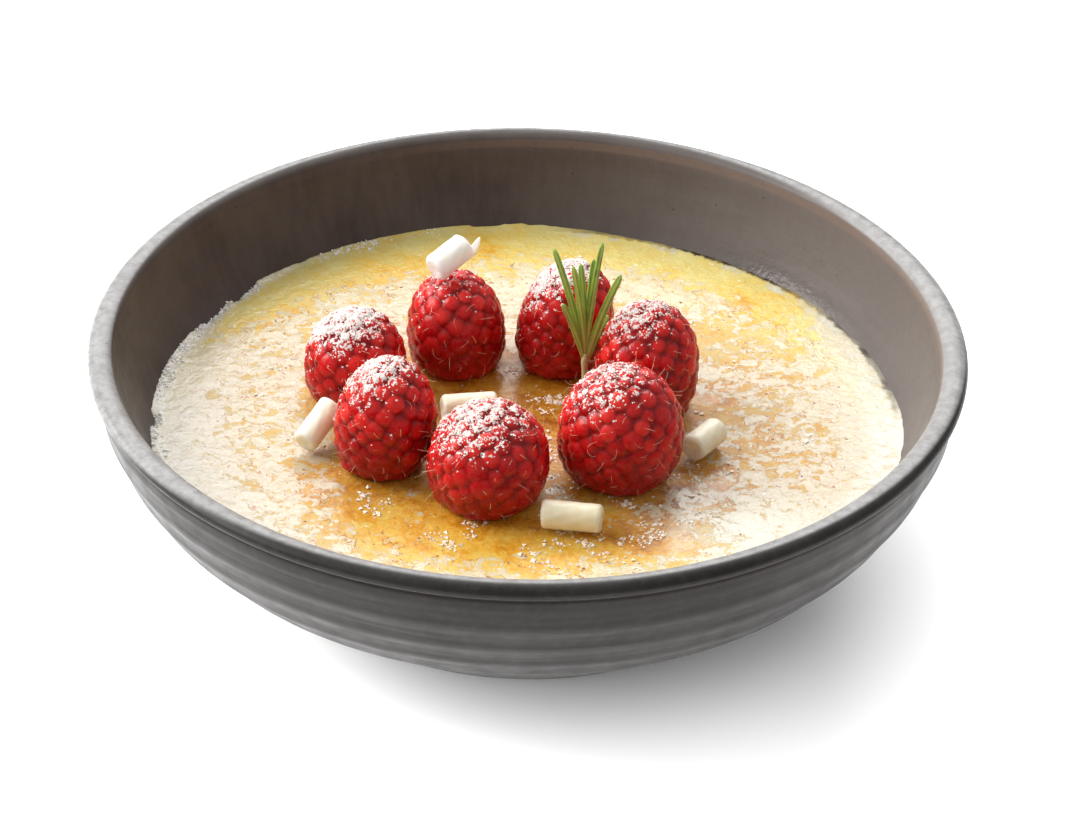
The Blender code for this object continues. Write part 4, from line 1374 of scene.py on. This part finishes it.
def curl(number, look):
    """A shaved sheet rolled up tight.  Its free edge makes a step along the roll, and
    the turns show as a faint groove in the rounded ends."""
    x, y, z, heading, tilt, length, radius, turns, seam = CURLS[number]
    rng = np.random.default_rng(3000 + number)
    along, side, over = axes_of(heading, tilt)
    sides = 132
    angle = 2 * math.pi * np.arange(sides) / sides
    phase = rng.uniform(0, 6.28, 5)
    lag = ((angle - math.radians(seam)) / (2 * math.pi)) % 1.0
    outline = radius - 0.40 * lag * (1 - smooth(0.968, 1.0, lag))
    fillet = CURL_FILLET
    stations = []  # place along the axis, how far in from the outline, share of the way in
    for q in np.linspace(0.0, 1.0, 27)[1:-1]:
        stations.append((-length / 2, fillet, q))
    for a in np.linspace(0.0, 0.5 * math.pi, 8):
        stations.append((-length / 2 + fillet * (1 - math.cos(a)), fillet * (1 - math.sin(a)), 1.0))
    middle = np.linspace(-length / 2 + fillet, length / 2 - fillet, 36)[1:-1]
    stations.extend((m, 0.0, 1.0) for m in middle)
    stations.extend((-m, inset, q) for m, inset, q in stations[:33][::-1])
    points, marks, edges = [], [], []
    for s, inset, q in stations:
        u = s / length
        swell = 1.0 - 0.022 * (0.5 + 0.5 * np.sin(2 * angle + phase[0] + 2.2 * u)) \
            - 0.016 * (0.5 + 0.5 * math.sin(5.0 * u + phase[1]))
        full = outline * swell + 0.02 * np.sin(9 * angle + 14 * u + phase[1])
        ring = (full - inset) * q
        end = math.copysign(1.0, s)
        # the turns of the sheet, as a groove in the end, and a dimple in the middle
        turn = (full - ring) / 0.95 - lag
        groove = np.abs((turn + 0.5) % 1.0 - 0.5) * 0.95
        groove = 0.10 * np.exp(-((groove / 0.12) ** 2)) * float(smooth(0.10, 0.30, q))
        sunk = (groove + 0.24 * (1 - q) ** 0.7 + 0.22 * math.exp(-((q / 0.16) ** 2))) \
            if q < 1.0 else 0.0
        askew = 0.22 * np.cos(angle + phase[2]) * ring / radius * abs(2 * u) ** 3
        askew = askew + 0.07 * np.sin(3 * angle + phase[3]) * ring / radius * abs(2 * u) ** 3
        place = s - end * sunk - end * (0.15 + askew) * abs(2 * u) ** 3
        points.append(np.array([x, y, z]) + np.outer(place + 0 * ring, along)
                      + np.outer(ring * np.cos(angle), side)
                      + np.outer(ring * np.sin(angle), over))
        marks.append(np.full(sides, u + 0.5))
        edges.append(np.full(sides, abs(2 * u) ** 6))
    total = len(stations)
    k = np.arange(sides)
    n = (k + 1) % sides
    quads = [np.stack([j * sides + k, j * sides + n, (j + 1) * sides + n, (j + 1) * sides + k], 1)
             for j in range(total - 1)]
    points = np.concatenate(points)
    ends = [points[:sides].mean(axis=0), points[-sides:].mean(axis=0)]
    first = np.stack([0 * k + len(points), n, k], 1)
    e = (total - 1) * sides
    last = np.stack([0 * k + len(points) + 1, e + k, e + n], 1)
    points = np.concatenate([points, ends])
    marks = np.concatenate(marks + [np.array([0.0, 1.0])])
    edges = np.concatenate(edges + [np.array([1.0, 1.0])])
    points = points + 0.05 * np.stack([noise3(points / 1.6, 900 + number + c) for c in range(3)], 1)
    quads, tris = np.concatenate(quads), np.concatenate([first, last])
    if number == 1:
        # a torn sliver of the sheet stands off its right end
        tail, tail_quads = sliver(CURL_TAIL, 2.5, 0.55)
        quads = np.concatenate([quads, tail_quads + len(points)])
        points = np.concatenate([points, tail])
        marks = np.concatenate([marks, np.full(len(tail), 0.9)])
        edges = np.concatenate([edges, np.full(len(tail), 0.5)])
    # painted light: each curl's share of brightening
    obj = make_object(f"curl_{number}", points, [quads, tris], look,
                      {"along": marks, "edge": np.clip(edges, 0, 1),
                       "white": np.full(len(points), CURL_PAINTED_LIGHT[number])})
    return settle(obj, "white_chocolate", f"chocolate_curl_{number}")


# ============================================================================
# rosemary
# ============================================================================
def bezier(a, b, c, d, t):
    t = t[:, None]
    return (1 - t) ** 3 * a + 3 * (1 - t) ** 2 * t * b + 3 * (1 - t) * t**2 * c + t**3 * d


def rosemary():
    """A woody stem; each leaf is narrow, with rolled edges and a pale midrib."""
    rng = np.random.default_rng(61)
    facing = np.array([0.0, -1.0, 0.15])
    facing /= np.linalg.norm(facing)
    x, y = STEM_FOOT
    points, faces, tri = [], [], []
    marks = {"along": [], "rib": [], "woody": [], "vary": []}
    total = 0

    def loft(line, section, woody, vary):
        """section(t) gives (n, 2) points across and in depth, and the rib mark."""
        nonlocal total
        count = len(line)
        sides = None
        for k in range(count):
            t = k / (count - 1)
            ahead = line[min(k + 1, count - 1)] - line[max(k - 1, 0)]
            ahead /= np.linalg.norm(ahead)
            across = np.cross(ahead, facing)
            across /= np.linalg.norm(across)
            depth = np.cross(across, ahead)
            shape, rib = section(t)
            sides = len(shape)
            points.append(line[k] + np.outer(shape[:, 0], across) + np.outer(shape[:, 1], depth))
            marks["along"].append(np.full(sides, t))
            marks["rib"].append(rib)
            marks["woody"].append(np.full(sides, woody))
            marks["vary"].append(np.full(sides, vary))
        s = np.arange(sides)
        n = (s + 1) % sides
        for k in range(count - 1):
            a, b = total + k * sides, total + (k + 1) * sides
            faces.append(np.stack([a + s, a + n, b + n, b + s], 1))
        tri.append(np.stack([0 * s[1:-1] + total, total + s[1:-1] + 1, total + s[1:-1]], 1))
        e = total + (count - 1) * sides
        tri.append(np.stack([0 * s[1:-1] + e, e + s[1:-1], e + s[1:-1] + 1], 1))
        total += count * sides

    def stem_section(t):
        a = np.linspace(0, 2 * math.pi, 15)[:-1]
        r = STEM_RADIUS * (0.86 + 0.16 * math.sin(9 * t) ** 2 + 0.10 * t)
        if t > 0.94:
            r *= 0.75
        ring = np.stack([r * np.cos(a), r * np.sin(a)], 1)
        return ring, np.zeros(14)

    heights = np.linspace(LEVEL - 0.2, STEM_TOP, 26)
    sway = np.stack([x + 0.16 * np.sin((heights - LEVEL) * 0.5), y + 0 * heights, heights], 1)
    loft(sway, stem_section, 1.0, 0.5)

    for number, (tx, ty, tz, base, bow) in enumerate(NEEDLES):
        start, tip = np.array([x, y, base]), np.array([tx, ty, tz])
        run = tip - start
        outward = np.array([run[0], run[1], 0.0])
        reach = np.linalg.norm(outward)
        outward = outward / reach if reach > 0.5 else np.array([1.0, 0.0, 0.0])
        b = start + run * 0.33 - outward * bow * 0.8
        c = start + run * 0.67 - outward * bow * 0.75
        line = bezier(start, b, c, tip, np.linspace(0, 1, 34))
        wide = NEEDLE_WIDTH * rng.uniform(0.92, 1.08)
        deep = NEEDLE_THICK * rng.uniform(0.9, 1.1)
        turn = rng.uniform(-0.5, 0.5)

        def leaf(t, wide=wide, deep=deep, turn=turn):
            a = np.linspace(0, 2 * math.pi, 19)[:-1]
            # narrow foot, full middle, blunt tip
            body = min(1.0, 0.34 + 0.66 * min(1.0, t / 0.42) ** 0.9)
            if t > 0.90:
                body *= math.sqrt(max(0.02, 1 - ((t - 0.90) / 0.102) ** 2))
            body *= 1.0 - 0.16 * max(0.0, t - 0.45) / 0.55
            across = wide / 2 * body * np.cos(a)
            depth = deep / 2 * body * np.sin(a)
            # a groove along the face, and edges rolled back from it
            face = np.clip(np.sin(a), 0, 1)
            depth = depth - face * 0.24 * deep * body * np.exp(-((across / (0.13 * wide)) ** 2))
            depth = depth - 0.20 * deep * (np.abs(across) / (wide / 2)) ** 2 * body
            rib = np.exp(-((across / (0.12 * wide * body + 1e-6)) ** 2)) * (np.sin(a) > 0)
            rib = rib + 0.5 * np.exp(-(((np.abs(across) - wide / 2 * body) / (0.10 * wide)) ** 2))
            ct, st = math.cos(turn * t), math.sin(turn * t)
            return np.stack([across * ct - depth * st, across * st + depth * ct], 1), np.clip(rib, 0, 1)

        loft(line, leaf, 0.0, rng.uniform(0, 1))
    obj = make_object("rosemary", np.concatenate(points),
                      [np.concatenate(faces), np.concatenate(tri)], rosemary_look(),
                      {key: np.concatenate(values) for key, values in marks.items()})
    return settle(obj, "rosemary", "rosemary_sprig")


# ============================================================================
# studio
# ============================================================================
def camera():
    data = bpy.data.cameras.new("camera")
    data.lens = 103.8
    data.sensor_width = 36.0
    data.sensor_fit = "HORIZONTAL"
    data.clip_start = 0.01
    data.clip_end = 20.0
    obj = bpy.data.objects.new("camera", data)
    bpy.context.scene.collection.objects.link(obj)
    forward = Vector((0.0, 0.837397, -0.546595))
    right, up = Vector((1.0, 0.0, 0.0)), Vector((0.0, 0.546595, 0.837397))
    roll = math.radians(1.23)
    axis_x = right * math.cos(roll) + up * math.sin(roll)
    axis_y = up * math.cos(roll) - right * math.sin(roll)
    turn = Matrix((axis_x, axis_y, -forward)).transposed().to_4x4()
    obj.matrix_world = Matrix.Translation((0.003104, -0.487229, 0.351260)) @ turn
    bpy.context.scene.camera = obj


def softbox(name, azimuth, elevation, distance, width, height, radiance, colour=(1, 1, 1),
            target=(0.0, 0.0, 0.03)):
    """A rectangular light at an azimuth from +Y towards +X, facing the dish."""
    data = bpy.data.lights.new(name, "AREA")
    data.shape = "RECTANGLE"
    data.size, data.size_y = width, height
    data.energy = radiance * width * height * math.pi
    data.color = colour
    obj = bpy.data.objects.new(name, data)
    bpy.context.scene.collection.objects.link(obj)
    az, el = math.radians(azimuth), math.radians(elevation)
    way = Vector((math.sin(az) * math.cos(el), math.cos(az) * math.cos(el), math.sin(el)))
    obj.location = Vector(target) + way * distance
    obj.rotation_euler = way.to_track_quat("Z", "Y").to_euler()
    obj.visible_camera = False
    return obj


def studio():
    scene = bpy.context.scene
    world = bpy.data.worlds.new("studio")
    world.use_nodes = True
    world.node_tree.nodes["Background"].inputs[0].default_value = (1.0, 1.0, 1.0, 1.0)
    world.node_tree.nodes["Background"].inputs[1].default_value = 0.52
    scene.world = world
    scene.view_settings.view_transform = "Standard"

    look = Look("studio_floor")
    tone = look.noise(400.0, 1.0)
    colour = look.mix(look.between(tone, 0.3, 0.7), (0.93, 0.93, 0.93), (0.95, 0.95, 0.95))
    floor_material = look.finish(Base_Color=colour, Roughness=0.8, IOR=1.3)
    reach = 3000.0
    steps = np.linspace(-reach, reach, 9)
    gx, gy = np.meshgrid(steps, steps, indexing="ij")
    points = np.stack([gx.ravel(), gy.ravel(), np.full(81, -0.02)], 1)
    i, j = np.meshgrid(np.arange(8), np.arange(8), indexing="ij")
    i, j = i.ravel(), j.ravel()
    quads = np.stack([i * 9 + j, (i + 1) * 9 + j, (i + 1) * 9 + j + 1, i * 9 + j + 1], 1)
    floor = make_object("floor", points, [quads], floor_material)

    softbox("back", -3.0, 42.0, 1.50, 1.50, 0.78, 5.0)
    softbox("left", -76.0, 36.0, 1.40, 1.10, 0.90, 8.6)
    # a wide light for the floor alone keeps it white in front of the bowl
    wash = softbox("wash", -142.0, 44.0, 1.40, 1.80, 1.20, 5.6)
    lit = bpy.data.collections.new("floor_only")
    lit.objects.link(floor)
    wash.light_linking.receiver_collection = lit


# ============================================================================
camera()
studio()
bowl()
custard()
foam()
flesh = berry_look()
fruits = {number: berry(number, flesh) for number in BERRIES}
hairs(fruits)
sugar_on_berries(fruits)
sugar_on_custard(sugar_look("sugar_crystals", (0.980, 0.850, 0.670), (0.990, 0.900, 0.770)))
ivory = chocolate_look()
for number in CURLS:
    curl(number, ivory)
rosemary()
